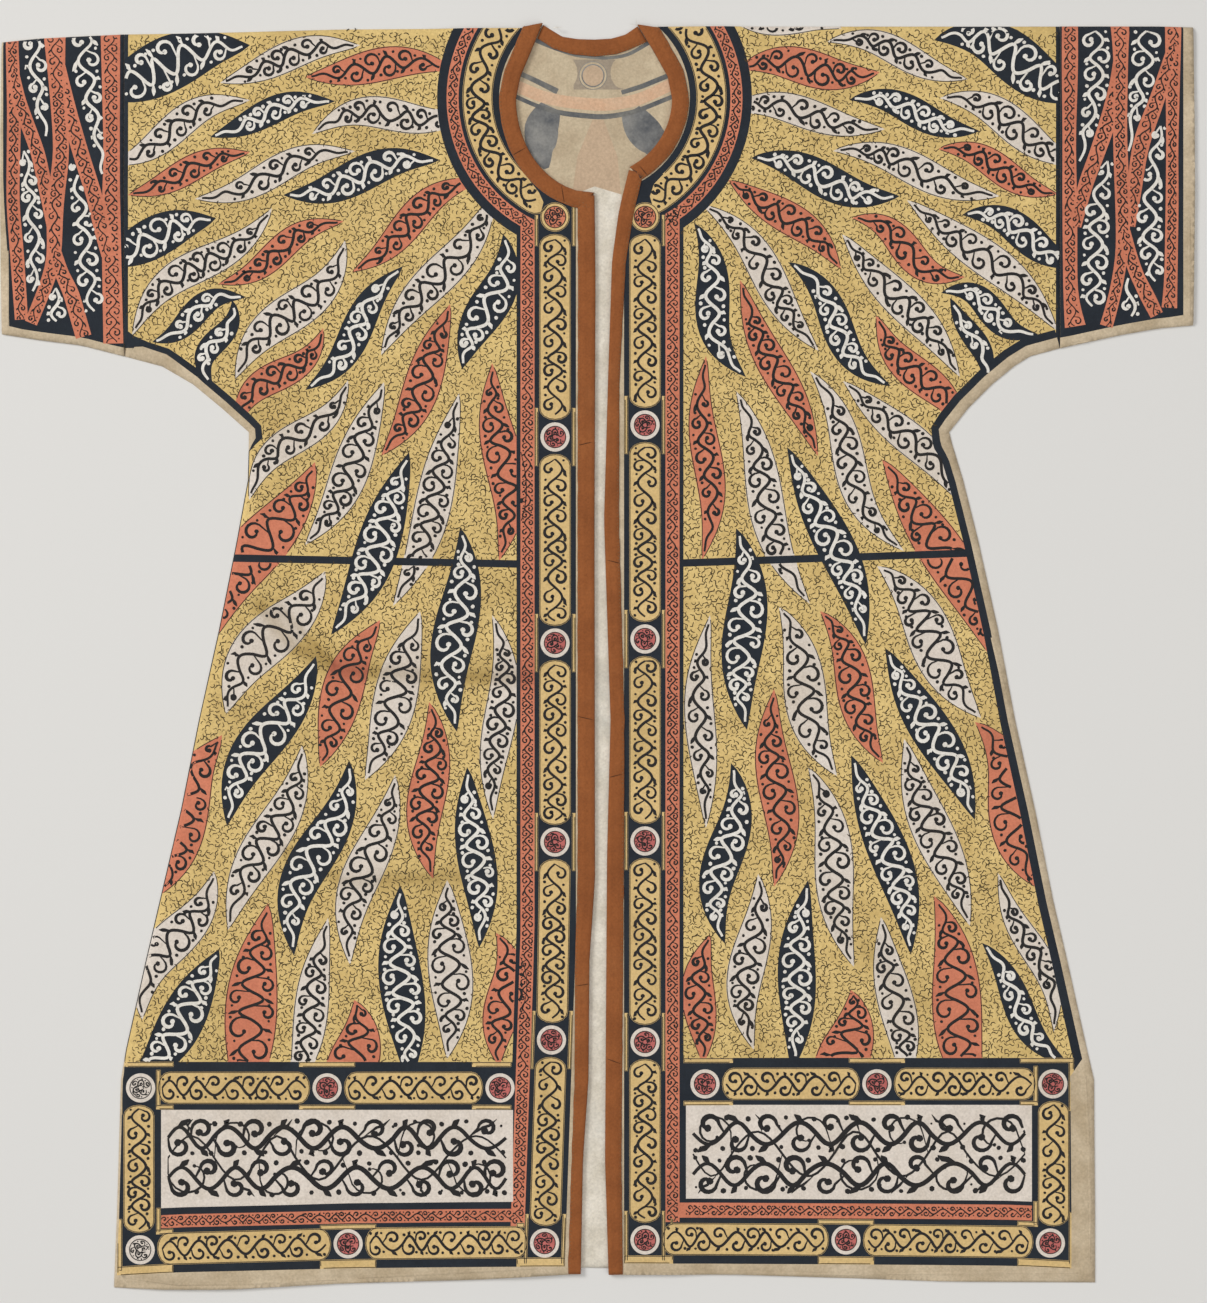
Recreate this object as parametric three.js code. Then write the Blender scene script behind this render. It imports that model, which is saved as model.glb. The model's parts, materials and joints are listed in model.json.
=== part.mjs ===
import * as THREE from 'three';

// A painted cotton shirt, open down the front, laid flat on its back.
// Millimetres, +Z up. x runs across the shirt and y from the hem to the shoulders.
// The origin is in the middle of its box, on the surface that it lies on.

// Driving dimensions: the walls and what lies on them

const CLOTH = 1.2;
const TAPE = 1;
const SEAM_GAP = 0.3;
const FRONT_LIFT = CLOTH + SEAM_GAP;
const BOUND_LIFT = FRONT_LIFT + TAPE + SEAM_GAP;
const TAPE_EDGE = TAPE + SEAM_GAP;
const NECK_TAPE = 17;
const TAPE_STOP = 0.22;

// The outer edge of a front rolls down to the surface, outside the edge of the back
const ROLL = { width: 5.5, knee: 0.45, kneeTop: 2.2, edgeTop: 0.9 };
const CUT_EDGE = { width: 0.6, soft: 0.15 };
const BACK_INSET = 6.2;

// Near the tape a front rises to clear the tape's inner leaf
const RISE = { flat: 60, end: 110 };

const ROW_STEP = 44;
const BACK_ROW_STEP = 176;
const ROW_CLEARANCE = 6;
const FRONT_SHARES = [0, 0.09, 0.19, 0.31, 0.43, 0.55, 0.67, 0.79, 0.9, 1];
const SHOULDER_TOP = 630;
const LOWEST_HEM = -634;
const HEM_BEND = -424;
const SEAM_LEFT = -473.5;
const SEAM_RIGHT = 462.5;

// Outer outline of the body below the shoulder, a row for each change of slope
const OUTLINE = [
  { y: 308, left: SEAM_LEFT, right: SEAM_RIGHT },
  { y: 300, left: SEAM_LEFT, right: 433 },
  { y: 290, left: -436, right: 417 },
  { y: 272, left: -405, right: 395 },
  { y: 248, left: -376, right: 371 },
  { y: 224, left: -349, right: 352 },
  { y: 212, left: -349, right: 355 },
  { y: 176, left: -350, right: 366 },
  { y: 116, left: -361, right: 381 },
  { y: 26, left: -379, right: 401 },
  { y: -64, left: -399, right: 418 },
  { y: -154, left: -417, right: 438 },
  { y: -244, left: -438, right: 456 },
  { y: -304, left: -452, right: 470 },
  { y: -394, left: -472, right: 490 },
  { y: HEM_BEND, left: -477, right: 497 },
  { y: -560, left: -481, right: 498 },
  { y: LOWEST_HEM, left: -484, right: 498 },
];

// Lines of the shoulders and of the hem, across the whole shirt
const ACROSS = [
  { x: -484, shoulder: 622, hem: -632 },
  { x: -440, shoulder: 622.5, hem: LOWEST_HEM },
  { x: -370, shoulder: 624, hem: LOWEST_HEM },
  { x: -260, shoulder: 627, hem: -628 },
  { x: -120, shoulder: 628, hem: -624 },
  { x: -20, shoulder: 628, hem: -618 },
  { x: 20, shoulder: 629, hem: -619 },
  { x: 140, shoulder: SHOULDER_TOP, hem: -619 },
  { x: 350, shoulder: SHOULDER_TOP, hem: -626 },
  { x: 498, shoulder: SHOULDER_TOP, hem: -627 },
];

// The neck is a quarter ellipse below its centre on each side; it turns into the free edge at the
// corner. Above its centre it runs up to the peak at the shoulder.
const NECK_CENTRE = { x: -3, y: 558 };
const NECK = {
  left: { across: -78.5, down: 95, corner: 463.5, peak: 633.6 },
  right: { across: 77.5, down: 77, corner: 489, peak: 632 },
};
const NECK_TOP = {
  left: [
    { y: 634, x: -54.5 },
    { y: 606, x: -66 },
    { y: 580, x: -77 },
    { y: NECK_CENTRE.y, x: NECK_CENTRE.x + NECK.left.across },
  ],
  right: [
    { y: 632, x: 39.5 },
    { y: 606, x: 55.5 },
    { y: 580, x: 70 },
    { y: NECK_CENTRE.y, x: NECK_CENTRE.x + NECK.right.across },
  ],
};
const NECK_ROWS = [606, 580, NECK_CENTRE.y, 532, 508, NECK.right.corner, 476, 467, NECK.left.corner, 448];

// Free front edges, from the neck corner to the hem, with the width of the tape on them
const OPENING = {
  left: [
    { y: NECK.left.corner, x: -3, tape: 17 },
    { y: 376, x: -2, tape: 17.5 },
    { y: 136, x: -3, tape: 17 },
    { y: -224, x: -2.5, tape: 17.5 },
    { y: -304, x: -8, tape: 14.5 },
    { y: -424, x: -9, tape: 14 },
    { y: -504, x: -14.5, tape: 11.5 },
    { y: LOWEST_HEM, x: -17, tape: 13 },
  ],
  right: [
    { y: NECK.right.corner, x: 32, tape: 15 },
    { y: 446, x: 21.5, tape: 15 },
    { y: 396, x: 14.5, tape: 14 },
    { y: 276, x: 10.5, tape: 11.5 },
    { y: 136, x: 6.5, tape: 15 },
    { y: -64, x: 13, tape: 14 },
    { y: -200, x: 9.5, tape: 17 },
    { y: -504, x: 7.5, tape: 16.5 },
    { y: LOWEST_HEM, x: 11.5, tape: 14 },
  ],
};

// Tape along the back of the neck: its folded edge and its sewn edge
const BACK_TAPE = [
  { foldX: -50.5, foldY: 630, sewnX: -59, sewnY: 618.5 },
  { foldX: -35.5, foldY: 620, sewnX: -44.5, sewnY: 608 },
  { foldX: -20, foldY: 617.5, sewnX: -25, sewnY: 602 },
  { foldX: -3, foldY: 617, sewnX: -3, sewnY: 600 },
  { foldX: 14, foldY: 618, sewnX: 18, sewnY: 602 },
  { foldX: 28, foldY: 622, sewnX: 33, sewnY: 607 },
  { foldX: 35, foldY: 628, sewnX: 45.5, sewnY: 614 },
];

// Ends of the sleeves, from the seam out to the open end
const SLEEVE_END = {
  left: [
    { x: SEAM_LEFT - SEAM_GAP, top: 622, bottom: 300 },
    { x: -517, top: 620, bottom: 311 },
    { x: -557, top: 618, bottom: 316 },
    { x: -596, top: 614, bottom: 322 },
  ],
  right: [
    { x: SEAM_RIGHT + SEAM_GAP, top: 630, bottom: 308 },
    { x: 522, top: 630, bottom: 321 },
    { x: 562, top: 630, bottom: 328 },
    { x: 596, top: 629, bottom: 331 },
  ],
};
const CUFF_BOW = 1.5;
const SLEEVE_SHARES = [0, 0.12, 0.26, 0.4, 0.5, 0.6, 0.72, 0.86, 1];
const SLEEVE_STEPS = 6;
const SLEEVE_FOLD = { curve: 1.2, low: 0.7, high: 2 };

// Creases pressed into the cloth: soft ridges along a route, level where rows follow them
const CREASES = [
  { height: 3.2, width: 15, level: -12, route: [[-336, 60], [-298, 16], [-258, -6], [-60, -12]] },
  { height: 2.4, width: 15, level: -213, route: [[-308, -189], [-248, -216], [-118, -212]] },
  { height: 1.3, width: 18, level: 197, route: [[-308, 203], [-230, 198], [-148, 193]] },
  { height: 1.5, width: 18, level: 460, route: [[-560, 470], [-470, 466], [-337, 456]] },
  { height: 1.6, width: 16, level: -40, route: [[-396, -34], [-362, -52]] },
  { height: 1.4, width: 20, level: -312, route: [[262, -290], [304, -334]] },
];
const WAVE = { height: 0.5, across: 290, along: 370 };

const PAINTED_YELLOW = { color: 0xc2a96e, roughness: 0.92, metalness: 0 };
const PAINTED_CORAL = { color: 0xbf7459, roughness: 0.92, metalness: 0 };
const BARE_COTTON = { color: 0xc3b393, roughness: 0.95, metalness: 0 };
const RUST_TAPE = { color: 0x87522e, roughness: 0.88, metalness: 0 };

// Helpers

const mix = (a, b, t) => a + (b - a) * t;

const clamp = (value) => Math.min(1, Math.max(0, value));

function smooth(low, high, value) {
  const t = clamp((value - low) / (high - low));
  return t * t * (3 - 2 * t);
}

// Reads a column of a table at a value between its rows
function read(table, key, at, column) {
  const falling = table[0][key] > table[table.length - 1][key];
  const rows = falling ? [...table].reverse() : table;
  const above = rows.findIndex((row) => row[key] >= at);
  if (above === 0) {
    return rows[0][column];
  }
  if (above < 0) {
    return rows[rows.length - 1][column];
  }
  const low = rows[above - 1];
  const high = rows[above];
  return mix(low[column], high[column], (at - low[key]) / (high[key] - low[key]));
}

function distanceTo(route, x, y) {
  let nearest = Infinity;
  for (let i = 1; i < route.length; i += 1) {
    const [ax, ay] = route[i - 1];
    const dx = route[i][0] - ax;
    const dy = route[i][1] - ay;
    const t = clamp(((x - ax) * dx + (y - ay) * dy) / (dx * dx + dy * dy));
    nearest = Math.min(nearest, Math.hypot(x - ax - t * dx, y - ay - t * dy));
  }
  return nearest;
}

const STRAIGHT_TURN = 0.1;

// Moves an outline into the cloth, which lies to the right of its travel; one depth for each stretch
function moveIn(points, depths, closed) {
  const count = points.length;
  const normals = points.map((a, i) => {
    const b = points[(i + 1) % count];
    const length = Math.hypot(b.x - a.x, b.y - a.y);
    return { x: (b.y - a.y) / length, y: (a.x - b.x) / length };
  });
  return points.map((point, i) => {
    const before = closed ? (i + count - 1) % count : Math.max(0, i - 1);
    const after = closed ? i : Math.min(count - 2, i);
    const n = normals[before];
    const m = normals[after];
    const cross = n.x * m.y - n.y * m.x;
    if (Math.abs(cross) < STRAIGHT_TURN) {
      const depth = (depths[before] + depths[after]) / 2;
      return { x: point.x + (n.x + m.x) / 2 * depth, y: point.y + (n.y + m.y) / 2 * depth };
    }
    return {
      x: point.x + (depths[before] * m.y - depths[after] * n.y) / cross,
      y: point.y + (depths[after] * n.x - depths[before] * m.x) / cross,
    };
  });
}

function enclosedVolume(points, faces) {
  let volume = 0;
  for (const [a, b, c] of faces) {
    const corners = [a, b, c].map((i) => new THREE.Vector3(...points[i]));
    volume += corners[0].dot(corners[1].cross(corners[2])) / 6;
  }
  return volume;
}

// A named mesh, with its faces turned outwards
function solid(name, finish, points, faces) {
  const outward = enclosedVolume(points, faces) < 0 ? faces.map(([a, b, c]) => [a, c, b]) : faces;
  const geometry = new THREE.BufferGeometry();
  geometry.setAttribute('position', new THREE.Float32BufferAttribute(points.flat(), 3));
  geometry.setIndex(outward.flat());
  geometry.computeVertexNormals();
  const mesh = new THREE.Mesh(geometry, new THREE.MeshStandardMaterial(finish));
  mesh.name = name;
  return mesh;
}

// Two triangles of a four-cornered face
const quad = (a, b, c, d) => [[a, b, c], [a, c, d]];

// Where the edges run

function freeEdgeX(side, y) {
  const neck = NECK[side];
  if (y <= neck.corner) {
    return read(OPENING[side], 'y', y, 'x');
  }
  if (y >= NECK_CENTRE.y) {
    return read(NECK_TOP[side], 'y', y, 'x');
  }
  return NECK_CENTRE.x + neck.across * Math.sqrt(1 - ((y - NECK_CENTRE.y) / neck.down) ** 2);
}

// A level row bends near the shoulders and near the hem, to follow their lines
function bend(x, y) {
  const top = read(ACROSS, 'x', x, 'shoulder') - SHOULDER_TOP;
  const bottom = read(ACROSS, 'x', x, 'hem') - LOWEST_HEM;
  return y + top * smooth(NECK_CENTRE.y, SHOULDER_TOP, y) + bottom * smooth(HEM_BEND, LOWEST_HEM, y);
}

const onRow = (x, y) => ({ x, y: bend(x, y) });

const outerPoint = (side, y) => onRow(read(OUTLINE, 'y', y, side), y);

function freePoint(side, row) {
  const y = bend(freeEdgeX(side, row), row);
  return { x: freeEdgeX(side, y), y };
}

// Rows of cloth from the shoulder to the hem: every named height, and more between them
function rowsThrough(heights, step) {
  const marks = [...new Set(heights)].sort((a, b) => b - a);
  const rows = [marks[0]];
  for (let i = 1; i < marks.length; i += 1) {
    const parts = Math.ceil((marks[i - 1] - marks[i]) / step);
    for (let k = 1; k <= parts; k += 1) {
      rows.push(mix(marks[i - 1], marks[i], k / parts));
    }
  }
  return rows;
}

const OUTLINE_ROWS = OUTLINE.map((row) => row.y);
const NAMED_ROWS = [SHOULDER_TOP, ...NECK_ROWS, ...OUTLINE_ROWS];
const CREASE_ROWS = CREASES.flatMap(({ level, width }) => [level + width, level, level - width])
  .filter((y) => NAMED_ROWS.every((row) => Math.abs(row - y) > ROW_CLEARANCE));
const FRONT_ROWS = rowsThrough([...NAMED_ROWS, ...CREASE_ROWS], ROW_STEP);
const BACK_ROWS = rowsThrough([SHOULDER_TOP, NECK_ROWS[0], NECK.left.corner, ...OUTLINE_ROWS], BACK_ROW_STEP);

const FREE_ROUTE = {
  left: FRONT_ROWS.map((y) => [freeEdgeX('left', y), y]),
  right: FRONT_ROWS.map((y) => [freeEdgeX('right', y), y]),
};

// Relief of the upper layer: broad waves and the creases
function relief(x, y) {
  const wave = 1 + Math.sin(x / WAVE.across * 2 * Math.PI) * Math.cos(y / WAVE.along * 2 * Math.PI);
  const ridges = CREASES.map(({ height, width, route }) => (
    height * Math.exp(-((distanceTo(route, x, y) / width) ** 2))
  ));
  return WAVE.height * wave + Math.max(...ridges);
}

// 1 beside the tape and 0 out in the cloth
const nearTape = (side, x, y) => 1 - smooth(RISE.flat, RISE.end, distanceTo(FREE_ROUTE[side], x, y));

function frontUnderside(side, x, y) {
  return mix(FRONT_LIFT + relief(x, y), BOUND_LIFT, nearTape(side, x, y));
}

// A wall of cloth inside four edges. Each edge point has a rim: cut square, or rolled down to the
// surface where rolled says 1. The edges run from left to right and from top to bottom.
function panel(name, finish, edges, rolled, underside) {
  const { left, right, top, bottom } = edges;
  const rows = left.length - 1;
  const columns = top.length - 1;
  const outline = [
    ...top,
    ...right.slice(1),
    ...bottom.slice(0, columns).reverse(),
    ...left.slice(1, rows).reverse(),
  ];
  const count = outline.length;
  const rolls = outline.map((a, i) => rolled(a, outline[(i + 1) % count]));
  const widths = rolls.map((roll) => mix(CUT_EDGE.width, ROLL.width, roll));
  const inner = moveIn(outline, widths, true);
  const knee = moveIn(outline, widths.map((width) => width * ROLL.knee), true);

  // The grid inside the rim, its top and bottom rows bent to their edges
  const topRow = inner.slice(0, columns + 1);
  const rightColumn = inner.slice(columns, columns + rows + 1);
  const bottomRow = inner.slice(columns + rows, 2 * columns + rows + 1).reverse();
  const leftColumn = [...inner.slice(2 * columns + rows), inner[0]].reverse();
  const grid = leftColumn.map((start, i) => topRow.map((upper, j) => {
    const end = rightColumn[i];
    const lower = bottomRow[j];
    const across = (upper.x - topRow[0].x) / (topRow[columns].x - topRow[0].x);
    const down = i === rows ? 1 : (topRow[0].y - start.y) / (topRow[0].y - bottomRow[0].y);
    const share = i === 0 ? 0 : down;
    const place = (key) => mix(start[key], end[key], across)
      + (upper[key] - mix(topRow[0][key], topRow[columns][key], across)) * (1 - share)
      + (lower[key] - mix(bottomRow[0][key], bottomRow[columns][key], across)) * share;
    return { x: place('x'), y: place('y') };
  }));

  const points = [];
  const addLayer = (lift, kneeHeight, edgeHeight) => {
    const first = points.length;
    grid.flat().forEach(({ x, y }) => points.push([x, y, underside(x, y) + lift]));
    [[knee, kneeHeight], [outline, edgeHeight]].forEach(([loop, height]) => {
      loop.forEach(({ x, y }, i) => {
        const roll = Math.min(rolls[i], rolls[(i + count - 1) % count]);
        points.push([x, y, height(underside(x, y), roll)]);
      });
    });
    return first;
  };
  const lower = addLayer(0, (z, roll) => mix(z, 0, roll), (z, roll) => mix(z + CUT_EDGE.soft, 0, roll));
  const upper = addLayer(
    CLOTH,
    (z, roll) => mix(z + CLOTH, ROLL.kneeTop, roll),
    (z, roll) => mix(z + CLOTH - CUT_EDGE.soft, ROLL.edgeTop, roll),
  );

  const cell = (i, j) => i * (columns + 1) + j;
  const rim = [
    ...Array.from({ length: columns }, (_, j) => cell(0, j)),
    ...Array.from({ length: rows }, (_, i) => cell(i, columns)),
    ...Array.from({ length: columns }, (_, j) => cell(rows, columns - j)),
    ...Array.from({ length: rows }, (_, i) => cell(rows - i, 0)),
  ];
  const kneeStart = (rows + 1) * (columns + 1);
  const edgeStart = kneeStart + count;
  const faces = [];
  const layerFaces = (first, turn) => {
    const add = (a, b, c, d) => faces.push(...(turn ? quad(a, d, c, b) : quad(a, b, c, d)));
    for (let i = 0; i < rows; i += 1) {
      for (let j = 0; j < columns; j += 1) {
        add(first + cell(i, j), first + cell(i + 1, j), first + cell(i + 1, j + 1), first + cell(i, j + 1));
      }
    }
    for (let i = 0; i < count; i += 1) {
      const next = (i + 1) % count;
      add(first + rim[i], first + rim[next], first + kneeStart + next, first + kneeStart + i);
      add(first + kneeStart + i, first + kneeStart + next, first + edgeStart + next, first + edgeStart + i);
    }
  };
  layerFaces(upper, false);
  layerFaces(lower, true);
  for (let i = 0; i < count; i += 1) {
    const next = (i + 1) % count;
    const low = lower + edgeStart;
    const high = upper + edgeStart;
    faces.push(...quad(high + i, high + next, low + next, low + i));
  }
  return solid(name, finish, points, faces);
}

// The two fronts

// Slides the end of a line along it to the height of a column of the ACROSS table
function endAt(end, next, column) {
  const y = read(ACROSS, 'x', end.x, column);
  return { x: end.x + (next.x - end.x) * (y - end.y) / (next.y - end.y), y };
}

function frontEdges(side) {
  const outer = FRONT_ROWS.map((y) => outerPoint(side, y));
  const fold = FRONT_ROWS.map((y) => freePoint(side, y));
  const travel = side === 'left' ? fold : [...fold].reverse();
  const moved = moveIn(travel, travel.map(() => TAPE_EDGE), false);
  const free = side === 'left' ? moved : moved.reverse();
  const last = free.length - 1;
  free[0] = endAt(free[0], free[1], 'shoulder');
  free[last] = endAt(free[last], free[last - 1], 'hem');
  const [left, right] = side === 'left' ? [outer, free] : [free, outer];
  const shares = side === 'left' ? FRONT_SHARES.map((share) => 1 - share).reverse() : FRONT_SHARES;
  const across = (row, column) => shares.map((share) => {
    const x = mix(left[row].x, right[row].x, share);
    return { x, y: read(ACROSS, 'x', x, column) };
  });
  const top = across(0, 'shoulder');
  const bottom = across(last, 'hem');
  [left[0], right[0]] = [top[0], top[top.length - 1]];
  [left[last], right[last]] = [bottom[0], bottom[bottom.length - 1]];
  return { left, right, top, bottom };
}

function front(side) {
  const edges = frontEdges(side);
  const seam = side === 'left' ? SEAM_LEFT : SEAM_RIGHT;
  const free = side === 'left' ? edges.right : edges.left;
  const rolled = (a, b) => {
    const onSeam = a.x === seam && b.x === seam;
    const onFree = free.includes(a) && free.includes(b);
    return onSeam || onFree ? 0 : 1 - nearTape(side, (a.x + b.x) / 2, (a.y + b.y) / 2);
  };
  const underside = (x, y) => frontUnderside(side, x, y);
  return panel(`front_${side}`, PAINTED_YELLOW, edges, rolled, underside);
}

// The back lies flat, inside the rolled edges of the fronts

function back() {
  const left = BACK_ROWS.map((y) => outerPoint('left', y));
  const right = BACK_ROWS.map((y) => outerPoint('right', y));
  const shoulder = (x) => ({ x, y: read(ACROSS, 'x', x, 'shoulder') });
  const neck = BACK_TAPE.map(({ foldX, foldY }) => ({ x: foldX, y: foldY }));
  const top = [
    ...[SEAM_LEFT, -330, -190, -90].map(shoulder),
    ...neck,
    ...[76, 180, 320, SEAM_RIGHT].map(shoulder),
  ];
  const last = left.length - 1;
  const bottom = top.map((point) => {
    const share = (point.x - SEAM_LEFT) / (SEAM_RIGHT - SEAM_LEFT);
    const x = mix(left[last].x, right[last].x, share);
    return { x, y: read(ACROSS, 'x', x, 'hem') };
  });
  [left[0], right[0]] = [top[0], top[top.length - 1]];
  [left[last], right[last]] = [bottom[0], bottom[bottom.length - 1]];
  const outline = [
    ...top,
    ...right.slice(1),
    ...bottom.slice(0, -1).reverse(),
    ...left.slice(1, last).reverse(),
  ];
  const depths = outline.map((a, i) => {
    const b = outline[(i + 1) % outline.length];
    if (a.x === b.x && (a.x === SEAM_LEFT || a.x === SEAM_RIGHT)) {
      return 0;
    }
    return neck.includes(a) && neck.includes(b) ? TAPE_EDGE : BACK_INSET;
  });
  const inset = moveIn(outline, depths, true);
  const columns = top.length - 1;
  const edges = {
    top: inset.slice(0, columns + 1),
    right: inset.slice(columns, columns + last + 1),
    bottom: inset.slice(columns + last, 2 * columns + last + 1).reverse(),
    left: [...inset.slice(2 * columns + last), inset[0]].reverse(),
  };
  return panel('back', BARE_COTTON, edges, () => 0, () => 0);
}

// Tape folded over the free edge of a front: a C in section, swept along the fold line

function tapeStations(side) {
  const { peak, corner } = NECK[side];
  const heights = [peak, ...FRONT_ROWS.slice(1)];
  const fold = [{ x: freeEdgeX(side, peak), y: peak }, ...FRONT_ROWS.slice(1).map((y) => freePoint(side, y))];
  const widths = heights.map((y) => (y >= corner ? NECK_TAPE : read(OPENING[side], 'y', y, 'tape')));
  const flip = (list) => (side === 'left' ? list : [...list].reverse());
  const at = (depths) => flip(moveIn(flip(fold), depths, false));
  const wall = at(fold.map(() => TAPE));
  const sewn = at(flip(widths));
  sewn[0].y = read(ACROSS, 'x', sewn[0].x, 'shoulder');
  return heights.map((y, i) => ({ y, fold: fold[i], wall: wall[i], sewn: sewn[i] }));
}

const C_SECTION = [
  { part: 'sewn', z: BOUND_LIFT + CLOTH + TAPE_EDGE },
  { part: 'wall', z: BOUND_LIFT + CLOTH + TAPE_EDGE },
  { part: 'fold', z: BOUND_LIFT + CLOTH + TAPE_EDGE / 2 },
  { part: 'fold', z: FRONT_LIFT + TAPE_EDGE / 2 },
  { part: 'wall', z: FRONT_LIFT },
  { part: 'sewn', z: FRONT_LIFT },
  { part: 'sewn', z: FRONT_LIFT + TAPE },
  { part: 'wall', z: FRONT_LIFT + TAPE },
  { part: 'wall', z: BOUND_LIFT + CLOTH + SEAM_GAP },
  { part: 'sewn', z: BOUND_LIFT + CLOTH + SEAM_GAP },
];

const L_SECTION = [
  { part: 'sewn', z: FRONT_LIFT + TAPE },
  { part: 'wall', z: FRONT_LIFT + TAPE },
  { part: 'fold', z: FRONT_LIFT + TAPE / 2 },
  { part: 'fold', z: 0 },
  { part: 'wall', z: 0 },
  { part: 'wall', z: FRONT_LIFT },
  { part: 'sewn', z: FRONT_LIFT },
];

// Triangles that close a section, each wound the way the section runs
function closing(contour, holes = []) {
  const points = [...contour, ...holes.flat()];
  const area = (loop) => THREE.ShapeUtils.area(loop);
  const along = Math.sign(area(contour));
  return THREE.ShapeUtils.triangulateShape(contour, holes).map(([a, b, c]) => (
    Math.sign(area([points[a], points[b], points[c]])) === along ? [a, b, c] : [a, c, b]
  ));
}

// Side walls of a closed loop of points, carried from one station to the next
function loopWalls(first, corners, stride, steps, turn) {
  const faces = [];
  for (let i = 0; i < steps; i += 1) {
    for (let k = 0; k < corners; k += 1) {
      const next = (k + 1) % corners;
      const a = first + i * stride;
      const b = a + stride;
      faces.push(...(turn ? quad(a + next, b + next, b + k, a + k) : quad(a + k, b + k, b + next, a + next)));
    }
  }
  return faces;
}

const SECTION_PLACE = { sewn: 1, wall: 0.1, fold: 0 };

function sweep(name, finish, section, stations) {
  const points = stations.flatMap((station) => (
    section.map(({ part, z }) => [station[part].x, station[part].y, z])
  ));
  const corners = section.length;
  const end = (stations.length - 1) * corners;
  const cap = closing(section.map(({ part, z }) => new THREE.Vector2(SECTION_PLACE[part], z)));
  const faces = [
    ...loopWalls(0, corners, corners, stations.length - 1, false),
    ...cap,
    ...cap.map(([a, b, c]) => [a + end, c + end, b + end]),
  ];
  return solid(name, finish, points, faces);
}

// The end of a tape stops short of its neighbour: a little more than half a seam gap at each end
function shortened(stations, end) {
  const [tip, next] = end === 'first' ? [stations[0], stations[1]] : [stations.at(-1), stations.at(-2)];
  const span = Math.hypot(next.fold.x - tip.fold.x, next.fold.y - tip.fold.y);
  const step = TAPE_STOP / span;
  const moved = {};
  for (const part of ['fold', 'wall', 'sewn']) {
    moved[part] = {
      x: tip[part].x + (next.fold.x - tip.fold.x) * step,
      y: tip[part].y + (next.fold.y - tip.fold.y) * step,
    };
  }
  return end === 'first' ? [moved, ...stations.slice(1)] : [...stations.slice(0, -1), moved];
}

function neckTape(side) {
  const stations = tapeStations(side).filter(({ y }) => y >= NECK[side].corner);
  return sweep(`neck_tape_${side}`, RUST_TAPE, C_SECTION, shortened(stations, 'last'));
}

function frontTape(side) {
  const stations = tapeStations(side).filter(({ y }) => y <= NECK[side].corner);
  return sweep(`front_tape_${side}`, RUST_TAPE, C_SECTION, shortened(stations, 'first'));
}

function backNeckTape() {
  const fold = BACK_TAPE.map(({ foldX, foldY }) => ({ x: foldX, y: foldY }));
  const wall = moveIn(fold, fold.map(() => TAPE), false);
  const stations = BACK_TAPE.map(({ sewnX, sewnY }, i) => (
    { fold: fold[i], wall: wall[i], sewn: { x: sewnX, y: sewnY } }
  ));
  return sweep('neck_tape_back', RUST_TAPE, L_SECTION, stations);
}

// The end of a sleeve: a tube of cloth pressed flat, open at the seam and at the cuff

function sleeveEnd(side) {
  const table = SLEEVE_END[side];
  const seamX = table[0].x;
  const cuffX = table.at(-1).x;
  const points = [];
  let cap = [];
  for (let i = 0; i <= SLEEVE_STEPS; i += 1) {
    const x = mix(seamX, cuffX, i / SLEEVE_STEPS);
    const top = read(table, 'x', x, 'top');
    const bottom = read(table, 'x', x, 'bottom');
    const bow = Math.sign(cuffX) * CUFF_BOW * i / SLEEVE_STEPS;
    const upper = (depth, lift) => SLEEVE_SHARES.map((share) => {
      const y = mix(bottom + depth, top - depth, share);
      return [y, lift + relief(x, y)];
    });
    const outer = [
      [bottom, SLEEVE_FOLD.low],
      [bottom, SLEEVE_FOLD.high],
      ...upper(SLEEVE_FOLD.curve, FRONT_LIFT + CLOTH),
      [top, SLEEVE_FOLD.high],
      [top, SLEEVE_FOLD.low],
      [top - SLEEVE_FOLD.curve, 0],
      [bottom + SLEEVE_FOLD.curve, 0],
    ];
    const inset = SLEEVE_FOLD.curve + SEAM_GAP;
    const inner = [
      ...upper(inset, FRONT_LIFT),
      [top - inset, CLOTH],
      [bottom + inset, CLOTH],
    ];
    for (const [y, z] of [...outer, ...inner]) {
      const height = (y - bottom) / (top - bottom);
      points.push([x + bow * Math.sin(height * Math.PI), y, z]);
    }
    if (i === 0) {
      const plane = (loop) => loop.map(([y, z]) => new THREE.Vector2(y, z));
      cap = closing(plane(outer), [plane(inner)]);
    }
  }
  const outerCorners = SLEEVE_SHARES.length + 6;
  const innerCorners = SLEEVE_SHARES.length + 2;
  const stride = outerCorners + innerCorners;
  const end = SLEEVE_STEPS * stride;
  const faces = [
    ...loopWalls(0, outerCorners, stride, SLEEVE_STEPS, false),
    ...loopWalls(outerCorners, innerCorners, stride, SLEEVE_STEPS, true),
    ...cap,
    ...cap.map(([a, b, c]) => [a + end, c + end, b + end]),
  ];
  return solid(`sleeve_end_${side}`, PAINTED_CORAL, points, faces);
}

// The shirt

const shirt = new THREE.Group();
const body = new THREE.Group();
const sleeves = new THREE.Group();
const tapes = new THREE.Group();
body.add(back());
tapes.add(backNeckTape());
for (const side of ['left', 'right']) {
  body.add(front(side));
  sleeves.add(sleeveEnd(side));
  tapes.add(neckTape(side), frontTape(side));
}
shirt.add(body, sleeves, tapes);

export default shirt;
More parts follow.
